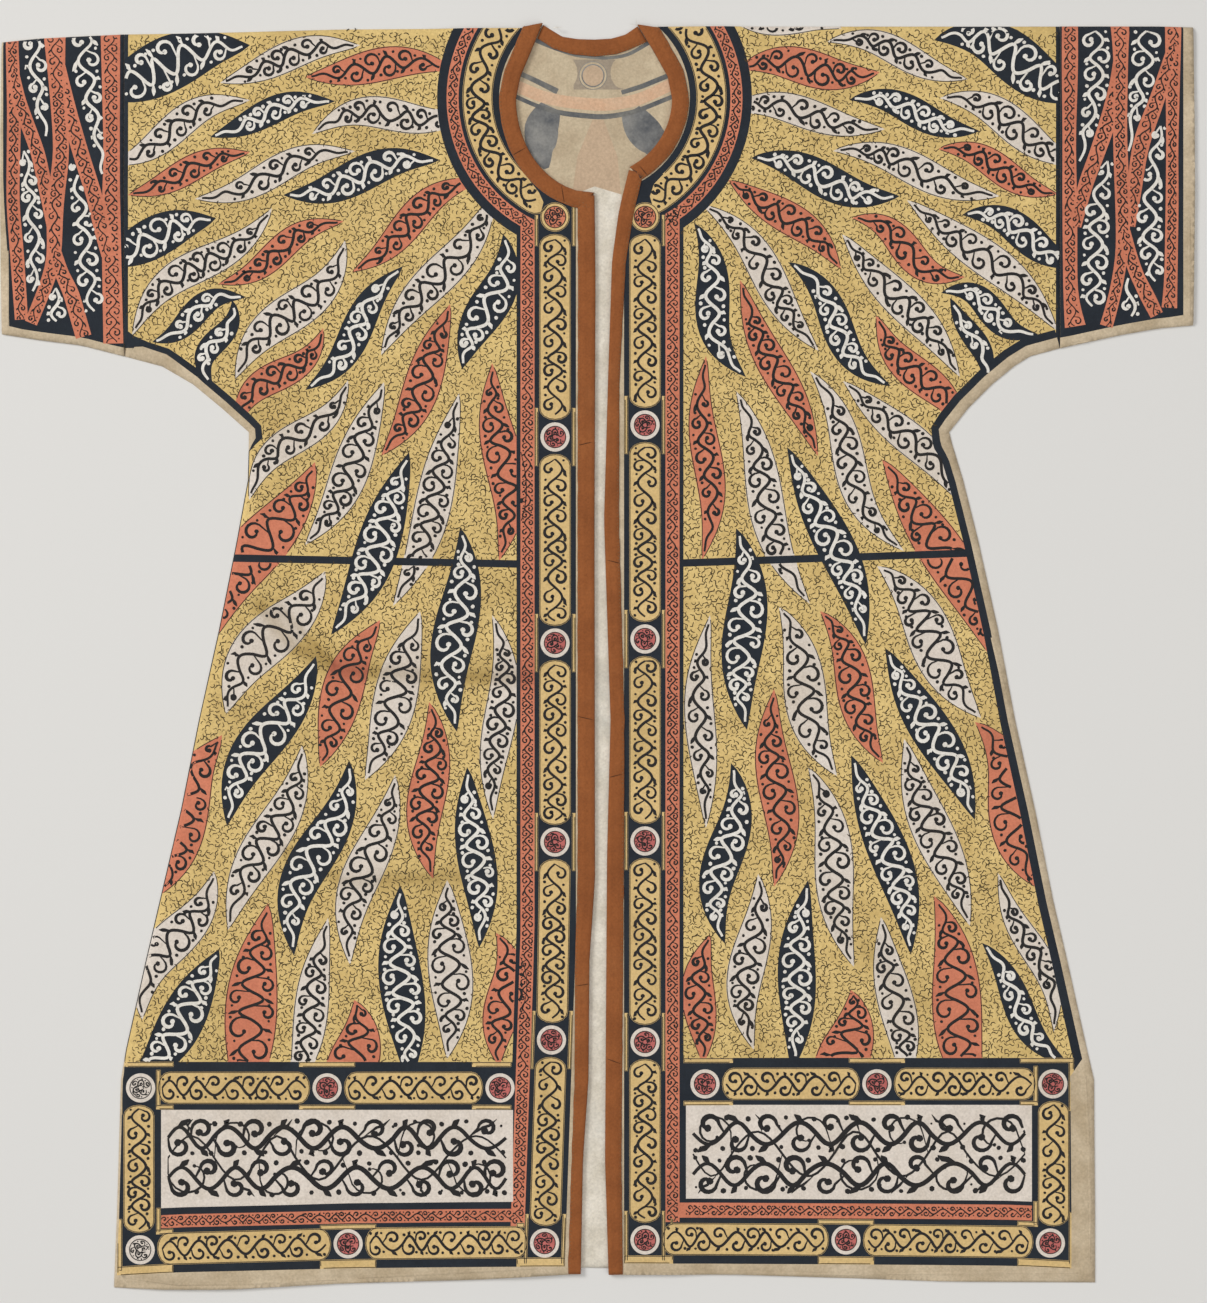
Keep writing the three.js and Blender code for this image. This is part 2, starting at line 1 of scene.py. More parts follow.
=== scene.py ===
# %% [markdown]
# # A painted cotton shirt, laid flat on its back
#
# The shirt is cut from hand-loomed cotton that was starched, polished and painted with a reed pen
# and a brush. Each piece of cloth is one closed shell here. Its upper face is divided along the
# painted shapes, so that every colour keeps a crisp edge however near one looks. The pen drawing
# lies on the cloth as thin ribbons of ink.
#
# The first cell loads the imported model, which gives the place and the size of everything.

# %% Load the frame
import json
import math
import random

import bmesh
import bpy
import numpy as np
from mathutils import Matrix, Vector, noise
from mathutils.bvhtree import BVHTree
from mathutils.geometry import delaunay_2d_cdt

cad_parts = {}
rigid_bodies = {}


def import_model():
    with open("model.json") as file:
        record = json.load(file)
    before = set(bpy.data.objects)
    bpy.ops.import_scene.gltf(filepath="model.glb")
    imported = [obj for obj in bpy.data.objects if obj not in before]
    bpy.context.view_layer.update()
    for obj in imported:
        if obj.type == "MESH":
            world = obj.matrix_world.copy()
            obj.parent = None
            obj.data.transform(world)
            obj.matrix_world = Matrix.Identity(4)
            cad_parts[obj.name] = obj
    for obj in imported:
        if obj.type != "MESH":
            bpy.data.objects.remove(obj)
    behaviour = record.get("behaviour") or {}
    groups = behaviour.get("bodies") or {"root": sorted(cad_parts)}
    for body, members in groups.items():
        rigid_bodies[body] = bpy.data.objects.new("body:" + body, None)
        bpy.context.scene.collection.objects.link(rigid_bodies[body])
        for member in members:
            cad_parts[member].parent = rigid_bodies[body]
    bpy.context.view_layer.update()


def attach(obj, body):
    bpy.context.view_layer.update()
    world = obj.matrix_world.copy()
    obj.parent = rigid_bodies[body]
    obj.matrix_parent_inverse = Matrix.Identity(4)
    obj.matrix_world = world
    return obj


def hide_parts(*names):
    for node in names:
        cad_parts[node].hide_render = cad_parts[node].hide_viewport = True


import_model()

# %% [markdown]
# ## Sizes
#
# Lengths are in millimetres in this script, and meshes are scaled to metres when they are made.
# Tables have named columns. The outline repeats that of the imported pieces.

# %% Tables and small helpers
MM = 0.001


def table(columns, *rows):
    """A table with named columns, each kept as a list of numbers."""
    return dict(zip(columns.split(), np.array(rows, float).T))


def read(rows, key, at, column):
    """A column of a table at a value between its rows."""
    order = np.argsort(rows[key], kind="stable")
    return np.interp(at, rows[key][order], rows[column][order])


def mix(a, b, share):
    return a + (b - a) * share


def smooth(low, high, value):
    share = np.clip((value - low) / (high - low), 0, 1)
    return share * share * (3 - 2 * share)


# %% The outline and the layers of cloth
CLOTH = 1.2
TAPE = 1
SEAM_GAP = 0.3
FRONT_LIFT = CLOTH + SEAM_GAP
BOUND_LIFT = FRONT_LIFT + TAPE + SEAM_GAP
TAPE_EDGE = TAPE + SEAM_GAP
TAPE_TOP = BOUND_LIFT + CLOTH + TAPE_EDGE
NECK_TAPE = 17
BACK_INSET = 6.2
SHOULDER_TOP = 630
LOWEST_HEM = -634
HEM_BEND = -424
SEAM = {"left": -473.5, "right": 462.5}
SIGN = {"left": -1, "right": 1}

OUTLINE = table(
    "y left right",
    (308, -473.5, 462.5), (300, -473.5, 433), (290, -436, 417), (272, -405, 395),
    (248, -376, 371), (224, -349, 352), (212, -349, 355), (176, -350, 366),
    (116, -361, 381), (26, -379, 401), (-64, -399, 418), (-154, -417, 438),
    (-244, -438, 456), (-304, -452, 470), (-394, -472, 490), (-424, -477, 497),
    (-560, -481, 498), (-634, -484, 498),
)
ACROSS = table(
    "x shoulder hem",
    (-484, 622, -632), (-440, 622.5, -634), (-370, 624, -634), (-260, 627, -628),
    (-120, 628, -624), (-20, 628, -618), (20, 629, -619), (140, 630, -619),
    (350, 630, -626), (498, 630, -627),
)
NECK_CENTRE = np.array((-3, 558))
NECK = {
    "left": {"across": -78.5, "down": 95, "corner": 463.5, "peak": 633.6},
    "right": {"across": 77.5, "down": 77, "corner": 489, "peak": 632},
}
NECK_TOP = {
    "left": table("y x", (634, -54.5), (606, -66), (580, -77), (558, -81.5)),
    "right": table("y x", (632, 39.5), (606, 55.5), (580, 70), (558, 74.5)),
}
OPENING = {
    "left": table(
        "y x tape", (463.5, -3, 17), (376, -2, 17.5), (136, -3, 17), (-224, -2.5, 17.5),
        (-304, -8, 14.5), (-424, -9, 14), (-504, -14.5, 11.5), (-634, -17, 13),
    ),
    "right": table(
        "y x tape", (489, 32, 15), (446, 21.5, 15), (396, 14.5, 14), (276, 10.5, 11.5),
        (136, 6.5, 15), (-64, 13, 14), (-200, 9.5, 17), (-504, 7.5, 16.5), (-634, 11.5, 14),
    ),
}
BACK_TAPE = table(
    "fold_x fold_y sewn_x sewn_y",
    (-54.3, 631.6, -60.3, 618), (-35.5, 620, -44.5, 608), (-20, 617.5, -25, 602),
    (-3, 617, -3, 600), (14, 618, 18, 602), (28, 622, 33, 607), (39.9, 630.2, 49.6, 614.8),
)
NECK_CUT = {"left": ((-77.5, 628.6), (-54.5, 633.1)), "right": ((39.5, 631.5), (62, 628.2))}
SLEEVE_END = {
    "left": table("x top bottom", (-473.8, 622, 300), (-517, 620, 311), (-557, 618, 316), (-596, 614, 322)),
    "right": table("x top bottom", (462.8, 630, 308), (522, 630, 321), (562, 630, 328), (596, 629, 331)),
}
CUFF_BOW = 1.5
# Steps along the tape's fold: round the neck, down the opening, and between two points at most
FOLD_STEP = {"neck": 4, "opening": 12, "most": 9}


def free_edge_x(side, y):
    """Where the fold of the tape runs, from the hem up to the shoulder."""
    neck = NECK[side]
    if y <= neck["corner"]:
        return float(read(OPENING[side], "y", y, "x"))
    if y >= NECK_CENTRE[1]:
        return float(read(NECK_TOP[side], "y", y, "x"))
    return float(NECK_CENTRE[0] + neck["across"] * math.sqrt(1 - ((y - NECK_CENTRE[1]) / neck["down"]) ** 2))


def shoulder(x):
    return read(ACROSS, "x", x, "shoulder")


def hem(x):
    return read(ACROSS, "x", x, "hem")


def bent(x, y):
    """A level row bends near the shoulders and near the hem, to follow their lines."""
    top = (shoulder(x) - SHOULDER_TOP) * smooth(NECK_CENTRE[1], SHOULDER_TOP, y)
    low = (hem(x) - LOWEST_HEM) * smooth(HEM_BEND, LOWEST_HEM, y)
    return y + top + low


# %% Lines, evenly spaced points and normals
def arc_length(points):
    """How far along a line each of its points lies."""
    return np.concatenate([[0], np.cumsum(np.hypot(*np.diff(points, axis=0).T))])


def resampled(points, step, closed=False):
    """The same line with a point at least every step, keeping its corners."""
    points = np.asarray(points, float)
    if closed:
        points = np.vstack([points, points[:1]])
    made = [points[:1]]
    for a, b in zip(points[:-1], points[1:]):
        count = max(1, math.ceil(math.hypot(*(b - a)) / step))
        made.append(a + (b - a) * np.linspace(0, 1, count + 1)[1:, None])
    made = np.vstack(made)
    return made[:-1] if closed else made


def evenly(points, count):
    """count points at even distances along a line."""
    points = np.asarray(points, float)
    at = arc_length(points)
    where = np.linspace(0, at[-1], count)
    return np.column_stack([np.interp(where, at, points[:, 0]), np.interp(where, at, points[:, 1])])


def normals_of(points):
    """Unit normals to the left of a line's travel."""
    way = np.gradient(points, axis=0)
    way /= np.hypot(way[:, 0], way[:, 1])[:, None]
    return np.column_stack([-way[:, 1], way[:, 0]])


# %% The edges of the fronts
def fold_line(side):
    """The fold of the tape from the shoulder down to the hem."""
    neck = NECK[side]
    end = float(hem(free_edge_x(side, LOWEST_HEM)))
    rows = np.concatenate([
        np.arange(neck["peak"], neck["corner"], -FOLD_STEP["neck"]),
        np.arange(neck["corner"], end + 5, -FOLD_STEP["opening"]),
        [end],
    ])
    return resampled([(free_edge_x(side, y), y) for y in rows], FOLD_STEP["most"])


def outer_line(side):
    """The outer edge of a front from the end of the sleeve seam down to the hem."""
    xs = OUTLINE[side]
    return np.column_stack([xs, [bent(x, y) for x, y in zip(xs, OUTLINE["y"])]])


FOLD_LINE = {side: fold_line(side) for side in SIGN}
OUTER_LINE = {side: outer_line(side) for side in SIGN}


def front_outline(side):
    """The cut of a front: shoulder, side and hem, and the free edge just inside its tape."""
    seam = SEAM[side]
    free = FOLD_LINE[side] - normals_of(FOLD_LINE[side]) * TAPE_EDGE * -SIGN[side]
    top_x = np.linspace(free[0, 0], seam, 20)
    low_x = np.linspace(OUTLINE[side][-1], free[-1, 0], 20)
    free[0, 1], free[-1, 1] = shoulder(free[0, 0]), hem(free[-1, 0])
    parts = [
        np.column_stack([top_x, shoulder(top_x)]),
        OUTER_LINE[side][:-1],
        np.column_stack([low_x, hem(low_x)]),
        free[1:-1][::-1],
    ]
    return resampled(np.vstack(parts), 6, closed=True)


print("front outlines", [len(front_outline(side)) for side in SIGN], "points")

# %% [markdown]
# ## The lie of the cloth
#
# Cloth that was folded away keeps its creases. The large ones are ridges along a route, the same
# as in the imported pieces. Finer ones are added where the shirt shows them: each is a soft
# ridge, or a trough where its height is below zero. A little noise keeps starched cotton from
# looking like sheet metal.

# %% Heights of the upper layer
WAVE = {"height": 0.5, "across": 290, "along": 370}
CREASES = (
    (3.2, 15, ((-336, 60), (-298, 16), (-258, -6), (-60, -12))),
    (2.4, 15, ((-308, -189), (-248, -216), (-118, -212))),
    (1.3, 18, ((-308, 203), (-230, 198), (-148, 193))),
    (1.5, 18, ((-560, 470), (-470, 466), (-337, 456))),
    (1.6, 16, ((-396, -34), (-362, -52))),
    (1.4, 20, ((262, -290), (304, -334))),
)
FINE_CREASES = (
    (-1.3, 6, ((-338, 50), (-303, 8), (-262, -15), (-150, -22), (-70, -23))),
    (-1.2, 2.6, ((-312, 44), (-293, 22), (-276, 4), (-262, -8))),
    (0.9, 5, ((-345, 74), (-322, 40), (-296, 22))),
    (-1.0, 5, ((-312, -196), (-252, -227), (-190, -224), (-120, -222))),
    (0.5, 6, ((-262, -262), (-190, -250), (-110, -256))),
    (0.6, 7, ((-300, 120), (-210, 108), (-120, 116))),
    (0.5, 8, ((-230, 300), (-208, 190), (-214, 60), (-205, -60))),
    (0.5, 7, ((-432, 420), (-380, 300))),
    (0.6, 6, ((-88, -450), (-70, -520), (-62, -606))),
    (-0.6, 5, ((-58, -400), (-46, -470), (-50, -560))),
    (0.6, 7, ((60, -430), (74, -500), (58, -590))),
    (0.7, 7, ((28, 250), (52, 216), (60, 170))),
    (0.5, 8, ((120, 20), (210, 8), (330, 22))),
    (0.5, 8, ((140, -206), (250, -214), (380, -200))),
    (0.6, 6, ((330, 420), (380, 470), (440, 492))),
    (-0.5, 6, ((236, -262), (292, -318), (312, -352))),
    (0.5, 6, ((-460, -470), (-380, -540), (-300, -556))),
    (0.5, 6, ((430, -470), (350, -520), (280, -524))),
)
RISE = {"flat": 60, "end": 110}
ROLL_WIDTH = 5.5
EDGE_TOP = 0.9
SHELL = 0.6
UNDER_CLEAR = 0.15
GRAIN = ((55, 0.42), (19, 0.16))


def distance_to(route, points):
    """How far each point is from a line of straight stretches."""
    route = np.asarray(route, float)
    nearest = np.full(len(points), 1e9)
    for a, b in zip(route[:-1], route[1:]):
        way = b - a
        share = np.clip(((points - a) @ way) / max(way @ way, 1e-9), 0, 1)
        off = points - a - share[:, None] * way
        nearest = np.minimum(nearest, np.hypot(off[:, 0], off[:, 1]))
    return nearest


def ridge(points, height, width, route):
    """The height of one soft ridge at each point."""
    return height * np.exp(-((distance_to(route, points) / width) ** 2))


def relief(points):
    """Broad waves and creases above the flat cloth, with the grain of starched cotton."""
    x, y = points.T
    across, along = x / WAVE["across"] * 2 * np.pi, y / WAVE["along"] * 2 * np.pi
    wave = WAVE["height"] * (1 + np.sin(across) * np.cos(along))
    ridges = [ridge(points, *crease) for crease in CREASES]
    fine = [ridge(points, *crease) for crease in FINE_CREASES]
    grain = np.zeros(len(points))
    for span, height in GRAIN:
        grain += [height * noise.noise(Vector((a / span, b / span, span))) for a, b in points]
    return wave + np.max(ridges, axis=0) + np.sum(fine, axis=0) + grain


def front_top(side, points):
    """The upper face of a front: raised over the tape, rolled down at its outer edge."""
    near = 1 - smooth(RISE["flat"], RISE["end"], distance_to(FOLD_LINE[side][::3], points))
    lie = np.maximum(relief(points), -0.2)
    full = CLOTH + mix(FRONT_LIFT + lie, BOUND_LIFT + np.clip(lie - 0.5, -0.2, 0.25), near)
    low_x = np.array((OUTLINE[side][-1], 0.0))
    edge = np.vstack([OUTER_LINE[side], np.column_stack([low_x, hem(low_x)])])
    top_x = np.linspace(SEAM[side], -40 * -SIGN[side], 8)
    from_edge = np.minimum(
        distance_to(edge, points), distance_to(np.column_stack([top_x, shoulder(top_x)]), points)
    )
    share = np.clip(from_edge / ROLL_WIDTH, 0, 1)
    rolled = EDGE_TOP + (full - EDGE_TOP) * (1 - (1 - share) ** 2)
    return mix(rolled, full, near), share, near


def front_under(side, points):
    """The lower face, flat below the creases, which reaches the surface at the roll."""
    _, share, near = front_top(side, points)
    low = mix(FRONT_LIFT, BOUND_LIFT, near) + UNDER_CLEAR
    return mix(low, low * share, 1 - near)


# %% [markdown]
# ## Materials
#
# Everything is cotton: painted with matt body colour, left bare, or woven into tape. One function
# adds a node with its settings and links, and one turns an sRGB hex value into linear colour.
# The threads of this cloth are 0.4 mm apart, too fine to show from a step away, so the weave is
# drawn at 1.1 mm, which still reads as cloth close by.

# %% Colour and node helpers
THREAD_SPACING, THREAD_DEPTH = 1.1, 0.25
# A wave texture of scale 1 repeats 20 times in a metre
WAVES = 20
# How dark soil and painted shade make a crease's trough, the share of that along a large ridge, and how much
# wider than the crease it spreads
CREASE_SOIL_AND_SHADE, RIDGE_SOIL_AND_SHADE, SOIL_AND_SHADE_SPREAD = 0.42, 0.18, 1.3
# Span in mm, detail and roughness of the noise in paint and cloth
PAINT_CLOUD = (38, 6, 0.62)
BRUSH_STREAK = (6, 3, 0.5)
PILE = (2.2, 2, 0.5)
HANDLING = (140, 5, 0.7)


def linear(hex_value):
    """An sRGB hex colour as linear red, green and blue."""
    parts = [int(hex_value[i:i + 2], 16) / 255 for i in (1, 3, 5)]
    return tuple(p / 12.92 if p <= 0.04045 else ((p + 0.055) / 1.055) ** 2.4 for p in parts) + (1,)


def add(tree, kind, inputs=None, **settings):
    """Adds a node, sets it up, and fills or links its inputs."""
    made = tree.nodes.new(kind)
    for name, value in settings.items():
        setattr(made, name, value)
    for name, value in (inputs or {}).items():
        if isinstance(value, bpy.types.NodeSocket):
            tree.links.new(value, made.inputs[name])
        else:
            made.inputs[name].default_value = value
    return made


A, B, BLEND = 6, 7, 2  # the colour sockets of a Mix node


def cloth_material(name, colour, shade, stain_and_shade, rough=0.9, weave=0.35, cloud=0.5, pattern="Object"):
    """Cotton in one colour: clouds of thinner paint, brush streaks, faint stains, soil with painted shade in
    the creases, and a plain weave.
    """
    material = bpy.data.materials.new(name)
    material.use_nodes = True
    tree = material.node_tree
    tree.nodes.clear()
    place = add(tree, "ShaderNodeTexCoord").outputs[pattern]
    clouds, streaks, fibres, aged = (
        add(tree, "ShaderNodeTexNoise", {
            "Vector": place, "Scale": 1 / MM / span, "Detail": detail, "Roughness": roughness,
        }).outputs["Fac"] for span, detail, roughness in (PAINT_CLOUD, BRUSH_STREAK, PILE, HANDLING)
    )
    # Where the paint is thin, streaked or stained, and how far that shows
    thin, streak, spread = (
        add(tree, "ShaderNodeMapRange", {"Value": value, "From Min": low, "From Max": high, "To Max": most})
        for value, low, high, most in (
            (clouds, 0.36, 0.66, cloud), (streaks, 0.5, 0.8, 0.45), (aged, 0.52, 0.74, 0.35),
        )
    )
    # Soil together with painted shade along the creases, read from an attribute of the sheets and mixed
    # towards the stain colour
    soil_and_shade_in_creases = add(tree, "ShaderNodeAttribute", attribute_name="crease_soil_and_shade")
    top = linear(colour)
    for share, over in (
        (thin.outputs[0], shade), (streak.outputs[0], shade),
        (spread.outputs[0], stain_and_shade), (soil_and_shade_in_creases.outputs["Fac"], stain_and_shade),
    ):
        top = add(tree, "ShaderNodeMix", {0: share, A: top, B: linear(over)}, data_type="RGBA").outputs[BLEND]
    speck = add(tree, "ShaderNodeMapRange", {
        "Value": fibres, "From Min": 0.3, "From Max": 0.7, "To Min": 0.9, "To Max": 1.1,
    })
    fleck = add(tree, "ShaderNodeMix", {
        0: 1.0, A: top, B: speck.outputs[0],
    }, data_type="RGBA", blend_type="MULTIPLY")
    warp, weft = (
        add(tree, "ShaderNodeTexWave", {
            "Vector": place, "Scale": 1 / MM / THREAD_SPACING / WAVES, "Distortion": 1.2, "Detail": 1,
        }, bands_direction=way) for way in "XY"
    )
    threads = add(tree, "ShaderNodeMath", {
        0: warp.outputs["Fac"], 1: weft.outputs["Fac"],
    }, operation="MAXIMUM")
    height = add(tree, "ShaderNodeMath", {0: threads.outputs[0], 1: fibres}, operation="ADD")
    bump = add(tree, "ShaderNodeBump", {
        "Height": height.outputs[0], "Strength": weave, "Distance": THREAD_DEPTH * MM,
    })
    gloss = add(tree, "ShaderNodeMapRange", {
        "Value": streaks, "To Min": rough - 0.07, "To Max": rough + 0.05,
    })
    shader = add(tree, "ShaderNodeBsdfPrincipled", {
        "Base Color": fleck.outputs[BLEND], "Roughness": gloss.outputs[0], "Normal": bump.outputs[0],
        "Sheen Weight": 0.12, "Sheen Roughness": 0.5, "Specular IOR Level": 0.25,
    })
    add(tree, "ShaderNodeOutputMaterial", {"Surface": shader.outputs[0]})
    return material


# %% The finishes of the shirt
FINISH_ROWS = {
    # Body colour made from orpiment yellow on starch: opaque, thinner in clouds
    "yellow": ("yellow_body_colour_on_cotton", "#dcbf7e", "#c5a768", "#94783f", {"cloud": 0.75}),
    # The same yellow laid plain in the borders, a little browner with age
    "ochre": ("yellow_border_colour_on_cotton", "#d8b980", "#c4a56c", "#94783f", {"cloud": 0.6}),
    # Indigo black in gum: the darkest colour, with a faint polish and rubbed streaks
    "navy": ("indigo_black_paint_on_cotton", "#191f27", "#272e36", "#2b2c2e", {"rough": 0.8}),
    # Red lead and white: warm coral that has faded unevenly
    "coral": ("coral_body_colour_on_cotton", "#d07f62", "#bd6e52", "#9c5640", {"cloud": 0.6}),
    # Coral glazed with a little crimson, in the roundels
    "rose": ("rose_body_colour_on_cotton", "#c26d66", "#a95a56", "#8c4b47", {"cloud": 0.7}),
    # Lead white over the starch: chalky and slightly pink
    "cream": ("white_body_colour_on_cotton", "#dcd1c5", "#cabdae", "#b09f86", {}),
    # Unpainted starched cotton: ivory, with tan handling marks at the margins
    "bare": ("bare_starched_cotton", "#cab89c", "#b09d80", "#9b845f", {"weave": 0.5, "cloud": 0.9}),
    # The inner face of the back: the plain weave, greyer than the margins
    "reverse": ("reverse_of_painted_cotton", "#c6b598", "#b3a084", "#a38d73", {"weave": 0.5, "cloud": 0.9}),
    # That face in the slit, which was never handled and has stayed pale
    "reverse_pale": ("reverse_pale_cotton", "#e4dccd", "#c6bdab", "#aeb3b1", {"weave": 0.5, "cloud": 0.85}),
    # Paint from the other side, soaked through the starch and dulled by it
    "reverse_pink": ("reverse_under_pale_coral", "#c2a88c", "#b59c81", "#a98f70", {"weave": 0.5}),
    "reverse_coral": ("reverse_under_coral", "#cfa888", "#d0b598", "#c0906c", {"weave": 0.5, "cloud": 0.8}),
    "reverse_taupe": ("reverse_under_grey", "#a3937f", "#8f8475", "#80766a", {"weave": 0.5}),
    "reverse_grey": ("reverse_under_indigo", "#55575a", "#827f77", "#48494b", {"weave": 0.5, "cloud": 0.9}),
    "reverse_smoke": ("reverse_under_smoky_indigo", "#56585b", "#8c8a85", "#3d3f43", {
        "weave": 0.5, "cloud": 1,
    }),
    # Lamp black in gum, laid with a reed pen
    "ink": ("lamp_black_ink", "#1b1a1b", "#2b2826", "#33291f", {"rough": 0.75, "weave": 0.15}),
    # The same ink, thinned and worn, for the small marks
    "thin_ink": ("thinned_brown_black_ink", "#3d321f", "#57482e", "#3d321f", {"weave": 0.15}),
    # White body colour laid with a pen
    "white_ink": ("white_pen_paint", "#e4dfd6", "#d0c9bd", "#bdb4a4", {"weave": 0.2}),
    # Plain tape dyed with madder and walnut, woven at the same pitch, rubbed along its fold
    "tape": ("rust_cotton_tape", "#94562b", "#7c4520", "#a0683d", {
        "weave": 0.8, "cloud": 0.7, "pattern": "UV",
    }),
    # Painted shade: dark lines in the tape's own creases
    "tape_crease_shade": ("painted_crease_shade_on_rust_tape", "#4f2b14", "#5d3519", "#46260f", {"weave": 0.3}),
    # Cotton sewing thread, two ply
    "thread": ("tan_sewing_thread", "#8a6a45", "#6f5232", "#93754d", {"weave": 0.6}),
}
FINISHES = {key: cloth_material(*row[:4], **row[4]) for key, row in FINISH_ROWS.items()}
print(len(FINISHES), "finishes")

# %% [markdown]
# ## A painted sheet
#
# The painted shapes are listed in the order in which they were laid down, so a later one covers
# an earlier one. Blender's constrained Delaunay triangulation takes all their outlines with a
# grid of points between them. Each triangle then gets the finish of the last shape over it.


# %% Shapes, and which of them covers a point
def inside(points, shape):
    """Which points lie inside a closed outline."""
    found = np.zeros(len(points), bool)
    low, high = shape.min(axis=0), shape.max(axis=0)
    near = np.flatnonzero(((points > low) & (points < high)).all(axis=1))
    if not len(near):
        return found
    x, y = points[near].T
    odd = np.zeros(len(near), bool)
    for (ax, ay), (bx, by) in zip(shape, np.roll(shape, -1, axis=0)):
        if ay != by:
            odd ^= ((ay > y) != (by > y)) & (x < (bx - ax) * (y - ay) / (by - ay) + ax)
    found[near] = odd
    return found


def finish_at(points, shapes, base):
    """The finish on top at each point."""
    found = np.full(len(points), base, dtype=object)
    for finish, shape in shapes:
        found[inside(points, shape)] = finish
    return found


def mesh_object(name, corners, faces, finishes, of_face=None, soft=True):
    """A mesh in metres from corners in millimetres, with a finish for each face."""
    mesh = bpy.data.meshes.new(name)
    corners = [tuple(c) for c in np.asarray(corners, float) * MM]
    mesh.from_pydata(corners, [], [tuple(map(int, f)) for f in faces])
    for finish in finishes:
        mesh.materials.append(FINISHES[finish])
    if of_face is not None:
        mesh.polygons.foreach_set("material_index", [finishes.index(f) for f in of_face])
    mesh.polygons.foreach_set("use_smooth", [soft] * len(mesh.polygons))
    mesh.update()
    made = bpy.data.objects.new(name, mesh)
    bpy.context.scene.collection.objects.link(made)
    return made


# %% Triangles of a closed sheet
def triangles_in(outline, lines, step):
    """Triangles inside an outline that keep every given line, with a grid of points between."""
    low, high = outline.min(axis=0), outline.max(axis=0)
    grid = []
    for i, y in enumerate(np.arange(low[1] + step / 2, high[1], step * 0.87)):
        grid += [(x, y) for x in np.arange(low[0] + step * (0.3 + 0.5 * (i % 2)), high[0], step)]
    grid = np.array(grid)
    points, edges = [grid[inside(grid, outline)]], []
    count = len(points[0])
    for line, closed in lines:
        points.append(line)
        last = len(line) if closed else len(line) - 1
        edges += [(count + i, count + (i + 1) % len(line)) for i in range(last)]
        count += len(line)
    points = np.vstack(points)
    corners, _, faces, *_ = delaunay_2d_cdt([Vector(p) for p in points], edges, [], 0, 1e-4, False)
    corners, faces = np.array([tuple(c) for c in corners]), np.array(faces)
    kept = inside(corners[faces].mean(axis=1), outline)
    return corners, faces[kept]


def rim_of(faces):
    """The edges that only one face has, in that face's direction."""
    edges = np.vstack([faces[:, [0, 1]], faces[:, [1, 2]], faces[:, [2, 0]]])
    key = np.sort(edges, axis=1)
    _, where, count = np.unique(key, axis=0, return_index=True, return_counts=True)
    return edges[where[count == 1]]


def only_used(corners, faces):
    """The corners that triangles use, and the triangles in their new numbers."""
    used, faces = np.unique(faces, return_inverse=True)
    return corners[used], faces.reshape(-1, 3)


def closed_shell(outline, lines, top, under, step, under_step):
    """Corners and faces of a closed sheet, upper faces first, with the number of those."""
    flat, faces = only_used(*triangles_in(outline, lines, step))
    rim = rim_of(faces)
    rim_lines = [(flat[[a, b]], False) for a, b in rim]
    low_flat, low_faces = only_used(*triangles_in(outline, rim_lines, under_step))
    first = len(flat)
    at = {tuple(np.round(p, 3)): first + i for i, p in enumerate(low_flat)}
    walls = []
    for a, b in rim:
        c, d = at.get(tuple(np.round(flat[b], 3))), at.get(tuple(np.round(flat[a], 3)))
        if c is not None and d is not None:
            walls += [(b, a, d), (b, d, c)]
    corners = [np.column_stack([flat, top(flat)]), np.column_stack([low_flat, under(low_flat)])]
    every_face = [faces, low_faces[:, ::-1] + first, np.array(walls).reshape(-1, 3)]
    return np.vstack(corners), np.vstack(every_face), len(faces)


# %% Soil and painted shade in the creases, and the painted sheet itself
def add_crease_soil_and_shade(sheet):
    """An attribute, up to 1, that darkens the cloth in its creases: soil together with painted shade."""
    points = np.array([(v.co.x / MM, v.co.y / MM) for v in sheet.data.vertices])
    crease_soil_and_shade = np.zeros(len(points))
    for depth, width, route in FINE_CREASES:
        crease_soil_and_shade += ridge(points, CREASE_SOIL_AND_SHADE * abs(depth) * (depth < 0), width * SOIL_AND_SHADE_SPREAD, route)
    for height, width, route in CREASES:
        crease_soil_and_shade += ridge(points, CREASE_SOIL_AND_SHADE * RIDGE_SOIL_AND_SHADE * height, width, route)
    layer = sheet.data.attributes.new("crease_soil_and_shade", "FLOAT", "POINT")
    layer.data.foreach_set("value", np.clip(crease_soil_and_shade, 0, 1))


def painted_sheet(name, outline, shapes, base, top, under, below, step=6, under_step=24, second=None):
    """A sheet painted on its upper face and in one finish below. second is another layer, in that finish."""
    lines = [(outline, True)] + [(resampled(shape, step, closed=True), True) for _, shape in shapes]
    corners, faces, painted = closed_shell(outline, lines, top, under, step, under_step)
    tree = BVHTree.FromPolygons([Vector(c) for c in corners], faces[:painted].tolist())
    finishes = list(finish_at(corners[faces[:painted], :2].mean(axis=1), shapes, base))
    if second:
        more, more_faces, _ = closed_shell(outline, [(outline, True)], *second, under_step, under_step)
        faces = np.vstack([faces, more_faces + len(corners)])
        corners = np.vstack([corners, more])
    of_face = finishes + [below] * (len(faces) - painted)
    used_finishes = list(dict.fromkeys(of_face))
    made = mesh_object(name, corners, faces, used_finishes, of_face)
    add_crease_soil_and_shade(made)
    print(name, len(faces), "triangles in", used_finishes)
    return made, tree


# %% [markdown]
# ## The borders
#
# A wide border follows the neck and both front edges down to a block above the hem. It is built
# up as the painter would: an indigo ground, a coral band, indigo again, then yellow cartouches
# between roundels. The places of the roundels drive everything else.

